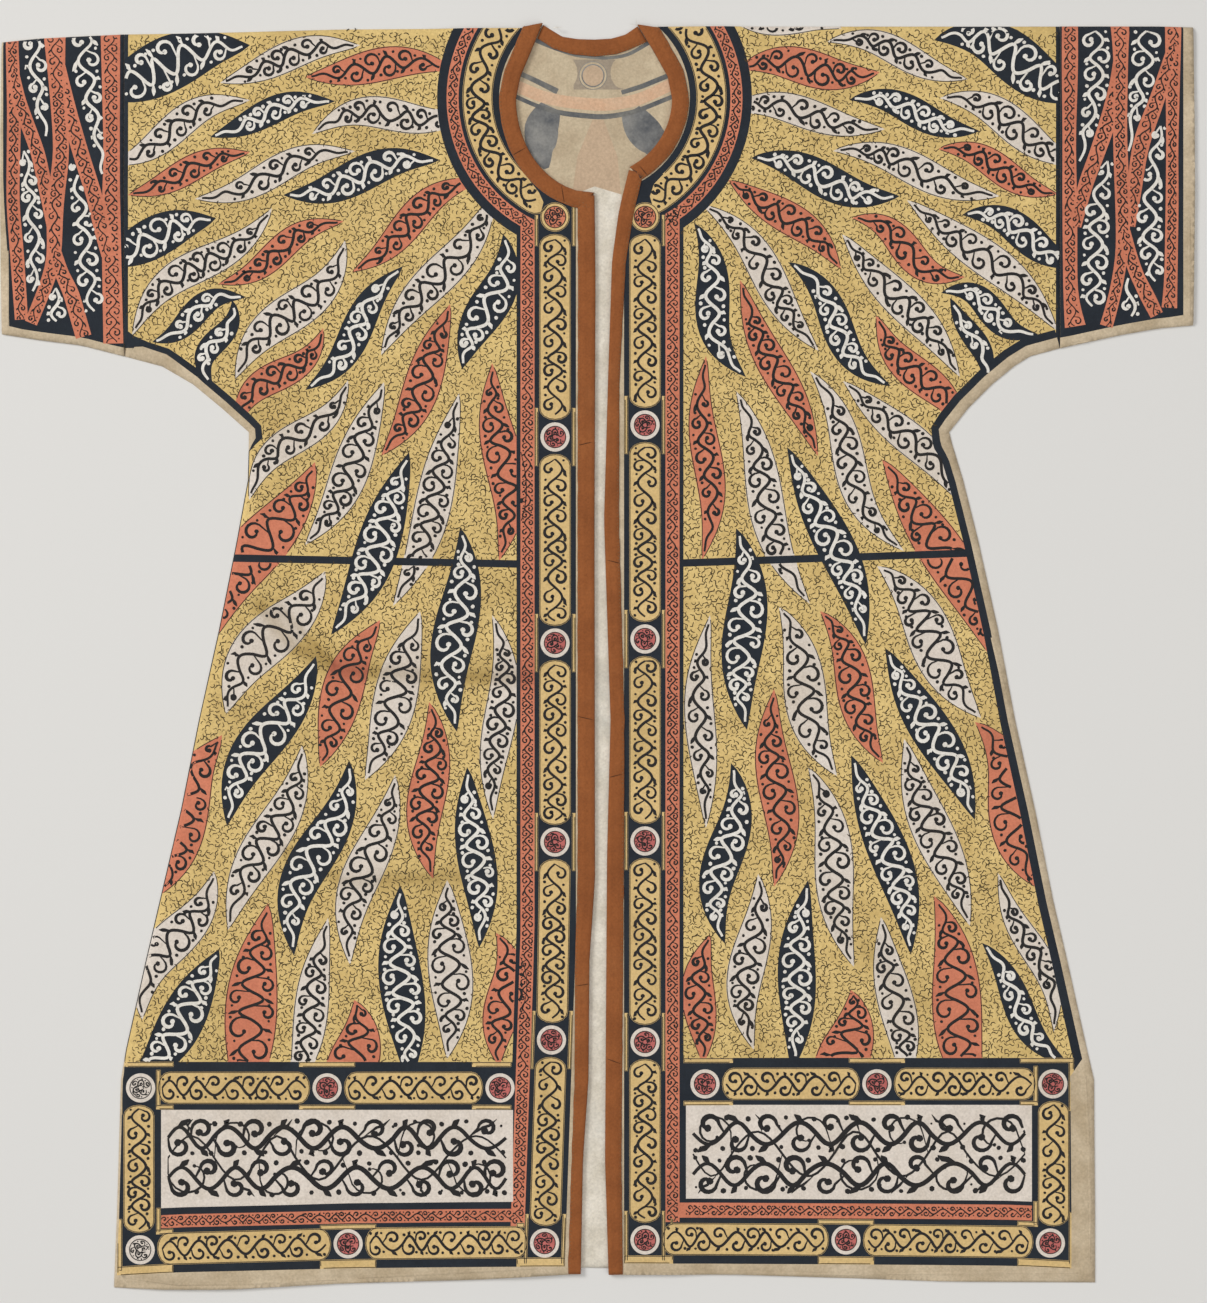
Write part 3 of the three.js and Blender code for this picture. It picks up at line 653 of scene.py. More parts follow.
# %% Border sizes
# Radii about the middle of the neck
RING = {
    "ground": 157.5, "coral_out": 148, "coral_in": 136,
    "cartouche_out": 132, "cartouche_in": 102, "plain": 95.4,
}
RING_SPAN = {"top": 44, "end": -60}
COLUMN_AXIS = {"left": -42.5, "right": 47.5}
# Offsets outwards from the axis of the border down the front
COLUMN = {"plain": -21, "cartouche": 15.7, "line": 17, "coral_in": 20.5, "coral_out": 34.5, "ground": 38.5}
COLUMN_LEAN = {
    "left": table("y x", (640, 0), (-280, 0), (-634, -12)),
    "right": table("y x", (640, 0), (-634, 0)),
}
# Radii of a roundel, and how near to its middle a cartouche may come
ROUNDEL = {"ring": 14.6, "disk": 11.2, "clear": 17}
LINE_REACH = 29
# How far above the first roundel its outer line starts, and the indigo ground beside the ring's end
CORNER_REACH = 2
NECK_CORNER = {
    "left": (
        (-69, 477), (-58.6, 463.6), (-54.1, 454), (-56.5, 444),
        (-45.8, 446), (-31, 455), (-42, 467), (-56, 478),
    ),
    "right": (
        (66, 482), (56.4, 471.8), (52.4, 459.6), (55.5, 449),
        (44.6, 446), (38, 462), (44, 472), (55, 482),
    ),
}
COLUMN_ROUNDELS = {"left": (439, 219, 13, -186, -384, -587), "right": (439, 231, 17, -185, -386, -584)}

# Heights in the block above the hem, one row for each side
BLOCK = table(
    "top row line panel_top panel_bottom coral_top coral_bottom low_line bottom_row bottom end",
    (-410, -432, -449, -454, -550, -557, -570, -575, -590.5, -606, -615),
    (-406, -428, -445, -449, -547, -551, -566, -571, -587.5, -604, -612),
)
BLOCK_SIDE = {"left": 0, "right": 1}
# How far the lower rows of the block rise above the level of the table, from the side seam inwards
BLOCK_LEAN = {
    "left": table("x rise", (-481, -5), (-457, -3.5), (-420, -1.5), (-249, 2.5), (-60, 4.5)),
    "right": table("x rise", (40, 4.5), (250, 3.5), (419, 2), (450, 0.5), (478, -1)),
}
LEAN_ROWS = (-470, -545)
BLOCK_ROUNDELS = {
    "left": {"row": (-457, -270.5, -97.5), "bottom": (-457.5, -249.5)},
    "right": {"row": (455.5, 279.5, 107.5), "bottom": (453, 248.5)},
}
ROW_HALF = 16
OUTER_COLUMN = {"left": (-476, -441.5), "right": (472, 440.5)}
PANEL = {"left": (-436.5, -84.5), "right": (434.5, 88.5)}
WAIST = {"left": ((-365, 98), (-80, 92)), "right": ((374, 103), (86, 93))}
WAIST_WIDTH = 7.5
SEAM_LINE = 4
# Where the dark line of the sleeve seam meets that of the underarm
SEAM_FOOT = {
    "left": ((-474, 328), (-463, 320), (-440, 310), (-436, 300), (-474, 308)),
    "right": ((463, 326), (452, 320), (430, 312), (424, 300), (463, 306)),
}
MARGIN = {
    "left": table(
        "y cream navy", (309, 9, 7), (300, 9, 7), (296, 14, 6), (270, 8, 7), (213, 7, 7),
        (211, 0, 1), (-404, 0, 1), (-414, 2, 0.1), (-640, 2.5, 0.1),
    ),
    "right": table(
        "y cream navy", (309, 11, 8), (213, 11, 8), (200, 8, 7), (-404, 7, 9),
        (-414, 24, 0.1), (-640, 24, 0.1),
    ),
}
# How far shapes reach past the outer edge, where they are cut off, and inwards under the tape
PAST_EDGE, UNDER_TAPE = 9, 40


# %% Border shapes
def circle(centre, radius, count=40):
    turn = np.linspace(0, 2 * np.pi, count, endpoint=False)
    return np.asarray(centre) + radius * np.column_stack([np.cos(turn), np.sin(turn)])


def box(x0, x1, y0, y1):
    return np.array([(x0, y0), (x1, y0), (x1, y1), (x0, y1)], float)


def capsule(a, b, half):
    """A cartouche: a band from a to b with rounded ends."""
    a, b = np.asarray(a, float), np.asarray(b, float)
    way = (b - a) / math.hypot(*(b - a))
    across = np.array((-way[1], way[0]))
    turn = np.linspace(-np.pi / 2, np.pi / 2, 9)[:, None]
    flat = 0.72
    tip = b - way * half * flat + half * (np.cos(turn) * way * flat + np.sin(turn) * across)
    tail = a + way * half * flat - half * (np.cos(turn) * way * flat + np.sin(turn) * across)
    return np.vstack([tip, tail])


def column_x(side, offset, y):
    """x of a line in the front border, offset outwards from the border's axis."""
    return COLUMN_AXIS[side] + SIGN[side] * offset + read(COLUMN_LEAN[side], "y", y, "x")


def column_band(side, inner, outer, y0, y1):
    rows = np.linspace(y0, y1, max(2, int(abs(y1 - y0) / 60) + 2))
    return np.vstack([
        np.column_stack([column_x(side, inner, rows), rows]),
        np.column_stack([column_x(side, outer, rows[::-1]), rows[::-1]]),
    ])


def ring_cartouche(side):
    """The long yellow cartouche that follows the neck, round at its lower end."""
    middle = (RING["cartouche_in"] + RING["cartouche_out"]) / 2
    half = (RING["cartouche_out"] - RING["cartouche_in"]) / 2
    turn = np.radians(np.linspace(RING_SPAN["top"], RING_SPAN["end"], 40))
    way = np.column_stack([SIGN[side] * np.cos(turn), np.sin(turn)])
    end = turn[-1]
    bow = np.linspace(0, np.pi, 9)[1:-1]
    radius = middle + half * np.cos(bow)
    angle = end - half * np.sin(bow) * 0.9 / middle
    cap = radius[:, None] * np.column_stack([SIGN[side] * np.cos(angle), np.sin(angle)])
    return np.vstack([
        NECK_CENTRE + RING["cartouche_out"] * way, NECK_CENTRE + cap,
        NECK_CENTRE + RING["cartouche_in"] * way[::-1],
    ])


# %% Margins along the outer edge
def inset_line(line, depths, side):
    """The outer edge moved into the cloth."""
    return line + normals_of(line) * np.asarray(depths)[:, None] * (1 if side == "left" else -1)


def edge_band(side, column):
    """A band of the margin along the outer edge, as deep as a column of the MARGIN table says."""
    line = resampled(OUTER_LINE[side], 8)
    depth = read(MARGIN[side], "y", line[:, 1], "cream")
    if column == "navy":
        depth = depth + read(MARGIN[side], "y", line[:, 1], "navy")
    outer = inset_line(line, np.full(len(line), -PAST_EDGE), side)
    return np.vstack([outer, inset_line(line, depth, side)[::-1]])


def margin_shapes(side):
    """The dark line along the outer edge, then the bare margins outside it."""
    s, end = SIGN[side], BLOCK["end"][BLOCK_SIDE[side]]
    seam = box(SEAM[side] - s * SEAM_LINE, SEAM[side] + s * PAST_EDGE, 300, SHOULDER_TOP + 20)
    inner = column_x(side, COLUMN["plain"] - UNDER_TAPE, end)
    foot = lean(side, box(OUTLINE[side][-1] + s * PAST_EDGE, inner, LOWEST_HEM - 20, end))
    dark = [("navy", seam), ("navy", edge_band(side, "navy")), ("navy", np.array(SEAM_FOOT[side], float))]
    return dark, [("bare", edge_band(side, "cream")), ("bare", foot)]


# %% Roundels, and the lean of the block
def roundel(centre, disk):
    """A ring and its disk."""
    ring = "ochre" if disk == "coral" else "cream"
    return [(ring, circle(centre, ROUNDEL["ring"])), (disk, circle(centre, ROUNDEL["disk"], 32))]


def leaned(side, x, y):
    """A height in the lower rows of the block, which sag towards the side seam."""
    return y + read(BLOCK_LEAN[side], "x", x, "rise") * smooth(LEAN_ROWS[0], LEAN_ROWS[1], y)


def lean(side, shape):
    """An outline in the block with that lean."""
    x, y = resampled(shape, 25, closed=True).T
    return np.column_stack([x, leaned(side, x, y)])


def between(places):
    """The stretches between neighbouring roundels."""
    clear = np.sign(np.diff(places)) * ROUNDEL["clear"]
    return [(a + gap, b - gap) for a, b, gap in zip(places, places[1:], clear)]


# %% Everything in the borders
def border_shapes(side):
    """Everything in the borders of a front, in painting order, with its cartouches and roundels."""
    s = SIGN[side]
    at = {key: column[BLOCK_SIDE[side]] for key, column in BLOCK.items()}
    far = OUTER_COLUMN[side]
    panel = PANEL[side]
    ground_out = far[0] + s * 4.5
    cartouches, roundels = [], []
    shapes = [
        ("navy", circle(NECK_CENTRE, RING["ground"], 90)),
        ("navy", column_band(side, -UNDER_TAPE, COLUMN["ground"], 470, at["end"])),
        ("navy", lean(side, box(ground_out, column_x(side, 30, -500), at["top"] + 4, at["end"]))),
        ("coral", circle(NECK_CENTRE, RING["coral_out"], 90)),
        ("coral", column_band(side, -UNDER_TAPE, COLUMN["coral_out"], 480, at["coral_bottom"])),
        ("coral", lean(side, box(panel[0], column_x(side, 28, -560), at["coral_top"], at["coral_bottom"]))),
        ("navy", circle(NECK_CENTRE, RING["coral_in"], 90)),
        ("navy", column_band(side, -UNDER_TAPE, COLUMN["coral_in"], 480, at["end"])),
        ("cream", lean(side, box(*panel, at["panel_bottom"], at["panel_top"]))),
    ]
    for a, b in between(COLUMN_ROUNDELS[side]):
        ends = [(column_x(side, 0, y), y) for y in (a, b)]
        cartouches.append((*ends, COLUMN["cartouche"]))
    for k, y in enumerate(COLUMN_ROUNDELS[side]):
        roundels.append(((column_x(side, 0, y), y), "rose" if k else "coral"))
        for inner, outer, reach in (
            (COLUMN["line"], COLUMN["coral_in"] - 0.3, LINE_REACH if k else CORNER_REACH),
            (-COLUMN["coral_in"], -COLUMN["line"], LINE_REACH),
        ):
            low = max(y - LINE_REACH, at["end"])
            shapes.append(("ochre", column_band(side, inner, outer, y + reach, low)))
    row = BLOCK_ROUNDELS[side]["row"]
    bottom = (*BLOCK_ROUNDELS[side]["bottom"], column_x(side, 0, COLUMN_ROUNDELS[side][-1]))
    for places, height in ((row, at["row"]), (bottom, at["bottom_row"])):
        for a, b in between(places):
            cartouches.append(((a, leaned(side, a, height)), (b, leaned(side, b, height)), ROW_HALF))
        for i, x in enumerate(row if places is row else places[:-1]):
            roundels.append(((x, leaned(side, x, height)), "cream" if side == "left" and i == 0 else "rose"))
    outer_x = (far[0] + far[1]) / 2
    (a, b), = between((at["row"], leaned(side, outer_x, at["bottom_row"])))
    cartouches.append(((outer_x, a), (outer_x, b), ROW_HALF - 0.5))
    inner_end = column_x(side, COLUMN["ground"], at["row"])
    for places, start, limit, top, low in (
        (row, ground_out, inner_end, at["top"] + 4, at["top"] - 1),
        (row, far[1], inner_end, at["line"], at["line"] - 4.5),
        (bottom, far[1], inner_end - s * 13, at["low_line"] + 4, at["low_line"] - 1),
        (bottom, ground_out, column_x(side, COLUMN["plain"], at["end"]), at["bottom"], at["end"]),
    ):
        for i, x in enumerate(places):
            outer, inner = (start, x - s * 33) if i == 0 else (x + s * 28, x - s * 28)
            inner = s * max(s * inner, s * limit)
            shapes.append(("ochre", lean(side, box(outer, inner, low, top))))
    for x, wide, y, top, low in (
        (ground_out, 5, at["row"], 22, -27), (far[1], 4.5, at["row"], 18, -18),
        (ground_out, 5, at["bottom_row"], 32, -20), (far[1], 4.5, at["bottom_row"], 41, 17),
    ):
        shapes.append(("ochre", lean(side, box(x, x - s * wide, y + low, y + top))))
    shapes += [("ochre", ring_cartouche(side)), ("navy", np.array(NECK_CORNER[side]))]
    for a, b, half in cartouches:
        shapes.append(("ochre", capsule(a, b, half)))
    for centre, disk in roundels:
        shapes += roundel(centre, disk)
    shapes += [
        ("bare", circle(NECK_CENTRE, RING["plain"], 72)),
        ("bare", column_band(side, COLUMN["plain"] - UNDER_TAPE, COLUMN["plain"], 470, at["end"])),
    ]
    return shapes, cartouches, roundels


# %% [markdown]
# ## The leaves
#
# Leaf-shaped cells stream away from the neck and down the skirt, in indigo, white and coral, with
# a yellow net between them. They are laid out to within about 5 mm: each row below gives
# a leaf's colour, its two tips and its half width. One rule then draws every leaf: a spine with a
# slight S, and two unlike sides that taper to points. Of a few curves each leaf takes the one that
# clears its neighbours best, and those that are still too close grow narrower.

# %% Where the leaves lie
# Places are in mm to the right of and below a corner outside the shirt, up and to the left of it.
CORNER = np.array((-597.5, 656.0))
LEAF_ROWS = {"left": """
navy 250 45 85 90 21     cream 360 45 220 83 14   coral 455 68 305 77 15   cream 250 100 112 165 16
navy 335 101 210 137 15  cream 472 110 312 134 15 coral 250 152 128 195 15 cream 355 151 195 199 15
navy 440 160 283 195 18  coral 482 178 352 272 17 navy 216 218 95 262 19   cream 272 208 132 336 18
coral 344 221 218 284 15 cream 345 240 235 379 20 navy 246 297 152 342 14  navy 232 300 213 388 13
navy 403 266 305 390 17  cream 494 190 381 355 16 navy 503 234 462 369 16  coral 323 328 236 428 16
coral 450 304 381 456 16 coral 492 363 499 561 15 cream 348 380 249 500 17 cream 384 382 305 545 17
cream 459 393 393 606 15 coral 315 462 210 645 23 navy 409 452 331 635 17  navy 460 527 457 732 19
cream 325 571 226 714 19 coral 380 620 320 767 16 cream 420 611 365 780 17 cream 492 615 493 819 14
navy 316 656 227 826 17  coral 429 702 433 879 17 coral 222 735 160 895 19 cream 302 745 228 930 16
navy 349 760 294 956 17  cream 395 775 350 965 17 navy 467 767 479 948 16  cream 214 871 142 1020 16
navy 219 949 130 1085 17 coral 268 903 240 1120 20 cream 328 918 288 1100 14 coral 354 1000 357 1130 20
navy 400 885 409 1085 17 cream 447 880 447 1059 17 coral 496 933 499 1066 15
""", "right": """
cream 728 18 842 28 15   coral 738 70 880 72 16   cream 827 42 968 79 14   navy 934 40 1095 95 19
navy 849 100 980 131 16  cream 940 98 1078 165 17 cream 722 112 885 129 15 navy 751 158 900 196 19
cream 833 151 1000 196 17 coral 938 149 1058 194 16 coral 728 180 841 269 18 cream 702 205 819 351 17
coral 852 218 965 277 17 cream 907 200 1058 331 19 navy 962 215 1078 267 17 cream 842 234 960 377 19
navy 694 223 746 377 16  coral 740 280 818 456 17 navy 788 262 891 386 17  navy 941 293 1038 334 15
navy 950 298 986 388 12  coral 876 315 966 432 18 coral 706 356 702 560 14 cream 736 391 810 604 16
cream 810 371 904 551 17 cream 843 381 966 508 17 coral 882 459 994 660 22 navy 787 447 866 645 18
navy 736 528 747 730 19  cream 877 566 981 718 19 cream 779 607 837 776 18 coral 820 611 883 763 17
cream 710 615 706 828 12 navy 885 648 975 820 17  coral 774 689 774 887 17 coral 975 722 1042 890 18
navy 731 763 725 944 15  cream 808 767 854 967 18 navy 851 755 911 955 17  cream 904 739 970 926 17
cream 998 873 1054 1032 15 cream 758 874 754 1050 16 navy 808 880 792 1072 17 coral 710 934 703 1064 13
coral 851 990 842 1125 20 cream 881 917 905 1090 14 coral 934 896 986 1115 19 navy 982 943 1070 1066 16
"""}
# bend and bow curve the spine, gap is the room that leaves keep between them and near how far
# away a neighbour may be. A smaller point makes blunter tips. full widens the half width of the
# rows, and a crowded leaf grows narrower in small steps, down to its least share.
LEAF = {
    "bend": 8, "bow": 8, "gap": 5, "near": 170, "point": 0.88, "full": 1.34, "least": 0.7, "narrower": 0.98,
}
LEAF_CURVES = [(bend, bow) for bend in (-1, -0.6, 0.6, 1) for bow in (-1, -0.4, 0.4, 1)]
LEAF_ROUNDS = {"curve": 3, "width": 20}
LEAF_SEED = {"left": 11, "right": 29}
SPINE_POINTS = 25


# %% Streaming leaves
def leaf_widths(half, count=SPINE_POINTS):
    """Half widths on either side of the spine: the fullest places lie off the middle."""
    at = np.linspace(0, 1, count)
    full = np.sin(np.pi * at ** 0.86) ** LEAF["point"]
    late = np.sin(np.pi * at ** 1.18) ** LEAF["point"]
    return half * full, half * late


def leaf_outline(spine, half):
    """The outline of a leaf, from its tip round both sides."""
    one, other = leaf_widths(half, len(spine))
    normal = normals_of(spine)
    return np.vstack([spine + normal * one[:, None], (spine - normal * other[:, None])[::-1][1:-1]])


def leaf_spine(tip, tail, bend, bow):
    """A line from tip to tail with a slight S and a slight bow."""
    at = np.linspace(0, 1, SPINE_POINTS)
    spine = mix(tip, tail, at[:, None])
    return spine + normals_of(spine) * (bend * np.sin(2 * np.pi * at) + bow * np.sin(np.pi * at))[:, None]


def leaf_room(spine, half, others):
    """How far a leaf lies from the nearest other one: below nothing where they overlap."""
    full = np.maximum(*leaf_widths(1))
    room = []
    for other in others:
        apart = np.hypot(*(spine[:, None] - other["spine"][None]).transpose(2, 0, 1))
        room.append((apart - half * full[:, None] - other["half"] * full[None]).min())
    return min(room)


def make_leaves(side):
    """The leaves of a front: spine, half width and finish."""
    chance = random.Random(LEAF_SEED[side])
    words = LEAF_ROWS[side].split()
    leaves = []
    for k in range(0, len(words), 6):
        x0, y0, x1, y1, half = (float(word) for word in words[k + 1:k + 6])
        tip, tail = CORNER + (x0, -y0), CORNER + (x1, -y1)
        full = half * LEAF["full"]
        leaves.append({
            "finish": words[k], "ends": (tip, tail), "spine": leaf_spine(tip, tail, 0, 0),
            "half": full, "least": full * LEAF["least"],
        })
    middles = np.array([leaf["spine"][SPINE_POINTS // 2] for leaf in leaves])
    near = []
    for i, middle in enumerate(middles):
        close = np.flatnonzero(np.hypot(*(middles - middle).T) < LEAF["near"])
        near.append([leaves[k] for k in close if k != i])
    for _ in range(LEAF_ROUNDS["curve"]):
        for leaf, others in zip(leaves, near):
            spines = [
                leaf_spine(*leaf["ends"], LEAF["bend"] * bend, LEAF["bow"] * bow) for bend, bow in LEAF_CURVES
            ]
            chance.shuffle(spines)
            room = [min(leaf_room(spine, leaf["half"], others), LEAF["gap"]) for spine in spines]
            leaf["spine"] = spines[int(np.argmax(room))]
    for _ in range(LEAF_ROUNDS["width"]):
        for leaf, others in zip(leaves, near):
            if leaf_room(leaf["spine"], leaf["half"], others) < LEAF["gap"]:
                leaf["half"] = max(leaf["half"] * LEAF["narrower"], leaf["least"])
    return leaves


LEAVES = {side: make_leaves(side) for side in SIGN}
print("leaves", {side: len(leaves) for side, leaves in LEAVES.items()})

# %% The painting of each front, in order
BORDERS = {side: border_shapes(side) for side in SIGN}


def front_shapes(side):
    """All painted shapes of a front, in the order in which they were laid down."""
    (ax, ay), (bx, by) = WAIST[side]
    half = WAIST_WIDTH / 2
    waist = np.array([(ax, ay - half), (bx, by - half), (bx, by + half), (ax, ay + half)])
    leaves = [(leaf["finish"], leaf_outline(leaf["spine"], leaf["half"])) for leaf in LEAVES[side]]
    dark, bare = margin_shapes(side)
    return leaves + [("navy", waist)] + dark + BORDERS[side][0] + bare


SHAPES = {side: front_shapes(side) for side in SIGN}

# %% [markdown]
# ## The two fronts
#
# Each front is one panel from the shoulder to the hem, made as a painted sheet on the heights
# that were worked out above.

# %% Make the fronts
FRONTS, SURFACES = {}, {}
for side in SIGN:
    FRONTS[side], SURFACES[side] = painted_sheet(
        f"painted_front_{side}", front_outline(side), SHAPES[side], "yellow",
        lambda points, side=side: front_top(side, points)[0],
        lambda points, side=side: front_under(side, points), "bare",
    )

# %% [markdown]
# ## The ends of the sleeves
#
# The loom's width ends above the elbow, so the end of each sleeve is a second piece, a tube
# pressed flat. Coral bands cross it like ribbons on indigo, and the cuff edge is left bare.

# %% Sleeve ends
SLEEVE_TOP_LIFT = FRONT_LIFT + CLOTH


def lines_of(rows):
    """Tables of x, y and half width, one from each row of numbers."""
    numbers = [[float(word) for word in row.split()] for row in rows.split("\n") if row]
    return [table("x y half", *zip(row[::3], row[1::3], row[2::3])) for row in numbers]


# Each row is the middle line of a band: x, y and half width at each of its points
SLEEVE_BANDS = {
    "left": lines_of("""
-586.5 640 6   -583.5 546 7   -585 452 6.5   -580.5 401 7   -575.5 325 6.5
-487.5 640 10   -486 503 8   -486.5 426 9.5   -484 300 10
-584 585 5   -578.5 554 7   -559.5 503 7   -549.5 457 7   -544 425 6
-542 605 6   -529.5 546 8   -515.5 498 8   -503.5 462 8   -495.5 426 8   -490 400 6
-544 640 12   -540.5 567 7.7   -535.5 503 8   -543.5 444 8.5   -542.5 394 7   -559.5 350 6.5   -571.5 322 6.5
-542.5 405 6   -536 383 7   -526.5 363 8   -513 316 8
"""),
    "right": lines_of("""
576 640 8.4   575.5 587 7.4   574.8 510 6   574.8 450 6.5   573.5 372 6.5   570.5 325 9
472.6 640 8   472.5 587 8.2   471.7 518 6.6   472.5 440 7.5   473 357 7   480 318 12
576 612 5   562.4 564 7.5   553.9 541 8   545 518 8.5   540.4 495 8   537.8 472 7.5   532 430 6
526 625 6   521 575 8   514 545 8.5   505 518 8   497 495 7.5   488 472 7.5   478 430 6
522.3 640 10   523.5 600 7.2   522.4 520 7   526 438 7.6   525 400 6   517 357 6   509 330 6.5
527 425 6   533 400 7   540 380 6.8   551.5 357 7.5   561 338 6.5
"""),
}
# The dark spaces between the bands, where the white vines grow
SLEEVE_GAPS = {
    "left": lines_of("""
-564 622 13   -562 590 14   -558 556 10   -552 520 6
-513 624 15   -512 590 17   -507 560 13   -500 520 9   -494 480 5
-574 505 7   -569 480 10   -565 440 13   -562 400 12   -565 365 8
-524 500 7   -519 470 11   -514 430 14   -511 390 15   -503 345 13
-542 368 7   -541 335 14
"""),
    "right": lines_of("""
498 625 16   500 590 16   497 560 14   487 515 8   482 495 5
549 625 18   548 590 17   542 562 13   534 530 7   531 505 5
510 495 8   503 470 13   499 435 16   498 400 16   495 350 15
563 530 7   557 500 12   553 460 15   552 420 16   558 375 11
531 378 6   534 340 13
"""),
}
CUFF_MARGIN = {
    "left": table("y in", (650, 1.5), (475, 1.5), (440, 3), (400, 6), (300, 8)),
    "right": table("y in", (650, 10), (300, 10)),
}
UNDER_MARGIN = {"left": 8, "right": 10}


# %% Bands and the shapes of a sleeve end
def band_along(points, halves):
    """A band with a middle line and half widths."""
    points = np.asarray(points, float)
    normal = normals_of(points)
    return np.vstack([points + normal * halves[:, None], (points - normal * halves[:, None])[::-1]])


def smooth_line(rows, count=28):
    """A smooth line through a table's points, with its half widths."""
    at = arc_length(np.column_stack([rows["x"], rows["y"]]))
    where = np.linspace(0, at[-1], count)
    made = []
    for key in ("x", "y", "half"):
        values = np.interp(where, at, rows[key])
        for _ in range(3):
            values[1:-1] = (values[:-2] + 2 * values[1:-1] + values[2:]) / 4
        made.append(values)
    return np.column_stack(made[:2]), made[2]


def sleeve_outline(side):
    """The flat tube's outline: its seam, its top, the bowed cuff and its lower edge."""
    rows = SLEEVE_END[side]
    xs = np.linspace(rows["x"][0], rows["x"][-1], 14)
    heights = np.linspace(0, 1, 24)
    cuff_x = rows["x"][-1] + SIGN[side] * CUFF_BOW * np.sin(heights * np.pi)
    low, high = rows["bottom"][-1], rows["top"][-1]
    return np.vstack([
        np.column_stack([xs, read(rows, "x", xs, "top")]),
        np.column_stack([cuff_x[1:-1], mix(high, low, heights[1:-1])]),
        np.column_stack([xs[::-1], read(rows, "x", xs[::-1], "bottom")]),
    ])


def sleeve_shapes(side):
    """An indigo ground inside bare margins, with the coral bands over it."""
    rows, s = SLEEVE_END[side], SIGN[side]
    seam, cuff = rows["x"][0], rows["x"][-1]
    ys = np.linspace(650, rows["bottom"][-1] + UNDER_MARGIN[side], 14)
    side_edge = np.column_stack([cuff - s * read(CUFF_MARGIN[side], "y", ys, "in"), ys])
    xs = np.linspace(side_edge[-1, 0], seam + s * -2, 10)[1:]
    edge = np.column_stack([xs, read(rows, "x", xs, "bottom") + UNDER_MARGIN[side]])
    shapes = [("navy", np.vstack([[(seam + s * -2, 650)], side_edge, edge]))]
    for rows in SLEEVE_BANDS[side]:
        middle, halves = smooth_line(rows)
        clip = middle[:, 1] > read(SLEEVE_END[side], "x", middle[:, 0], "bottom") + UNDER_MARGIN[side] + 1
        shapes.append(("coral", band_along(middle[clip], halves[clip])))
    return shapes


def sleeve_top(side, points):
    """The upper layer of a sleeve end, which rolls down to the fold above and below."""
    rows = SLEEVE_END[side]
    full = SLEEVE_TOP_LIFT + np.clip(relief(points), -0.2, 3)
    x, y = points.T
    gap = np.minimum(read(rows, "x", x, "top") - y, y - read(rows, "x", x, "bottom"))
    share = np.clip(gap / 2.5, 0, 1)
    return mix(1.6, full, 1 - (1 - share) ** 2)


# %% Make the sleeve ends
SLEEVES = {}
SLEEVE_SHAPES = {side: sleeve_shapes(side) for side in SIGN}
LOWER_LAYER = (lambda points: np.full(len(points), 0.9), lambda points: np.zeros(len(points)))
for side in SIGN:
    SLEEVES[side], SURFACES[f"sleeve_{side}"] = painted_sheet(
        f"painted_sleeve_end_{side}", resampled(sleeve_outline(side), 5, closed=True),
        SLEEVE_SHAPES[side], "bare",
        lambda points, side=side: sleeve_top(side, points),
        lambda points, side=side: sleeve_top(side, points) - SHELL,
        "bare", under_step=9, second=LOWER_LAYER,
    )

# %% [markdown]
# ## The back
#
# Only the inner face of the back is seen, in the neck and through the slit. The paint on its other
# side has soaked through: smoky indigo, pale coral and the rims of a cartouche and a roundel.

# %% Back
# The soaked rims: grey, but for the fourth, which is coral
SOAKED_FINISHES = ("reverse_grey", "reverse_grey", "reverse_grey", "reverse_coral", "reverse_grey")
SOAKED = list(zip(SOAKED_FINISHES, lines_of("""
-70 620 2.2   -50 611 2   -22 601 1.8   8 598 1.6   30 601 1.8   62 620 2
-84 586 2.4   -62 576 2.6   -40 565 3
24 564 2.2   44 570 2.5   78 584 2.5
-86 573 6   -60 561 6   -36 555 6   6 551 6.2   40 556 6   80 575 6
-86 562 2.2   -60 550 2   -36 543 2.6   6 539 2.6   36 544 2.4   80 562 2.2
""")))
SMOKY_LEAVES = (
    ((-47, 550), (-56, 530), (-57, 505), (-51, 488)),
    ((33, 545), (44, 528), (58, 512), (66, 494)),
)
SMOKY_HALF = 17
# The disk of the back: its middle, and the radii of its rim, ring, inner rim and heart
BACK_DISK, BACK_RADII = (-4.5, 581), (14.2, 13.6, 11.6, 10.4)
SLIT_PALE = ((-24, 462), (-3, 470), (24, 462), (30, 300), (34, -640), (-30, -640), (-26, 300))
PINK_PANEL = ((-5, 537), (6, 537), (20, 500), (24, 458), (-26, 458), (-20, 500))


def back_outline():
    """The back's outline, a little inside that of the fronts."""
    xs = np.concatenate([[SEAM["left"]], np.linspace(-440, -90, 14)])
    right = np.concatenate([np.linspace(76, 440, 14), [SEAM["right"]]])
    neck = np.column_stack([BACK_TAPE["fold_x"], BACK_TAPE["fold_y"] - TAPE_EDGE])
    low = np.linspace(OUTLINE["right"][-1] - BACK_INSET, OUTLINE["left"][-1] + BACK_INSET, 30)
    sides = {}
    for side, clear in (("left", 12), ("right", 18)):
        line = resampled(OUTER_LINE[side], 20)
        line = inset_line(line, np.full(len(line), BACK_INSET), side)
        within = np.abs(line[:, 0]) < abs(SEAM[side])
        sides[side] = line[(line[:, 1] > LOWEST_HEM + clear) & within]
    return np.vstack([
        np.column_stack([xs, shoulder(xs) - BACK_INSET]),
        neck,
        np.column_stack([right, shoulder(right) - BACK_INSET]),
        [(SEAM["right"], 308 + BACK_INSET)],
        sides["right"],
        np.column_stack([low, hem(low) + BACK_INSET]),
        sides["left"][::-1],
        [(SEAM["left"], 300 + BACK_INSET)],
    ])


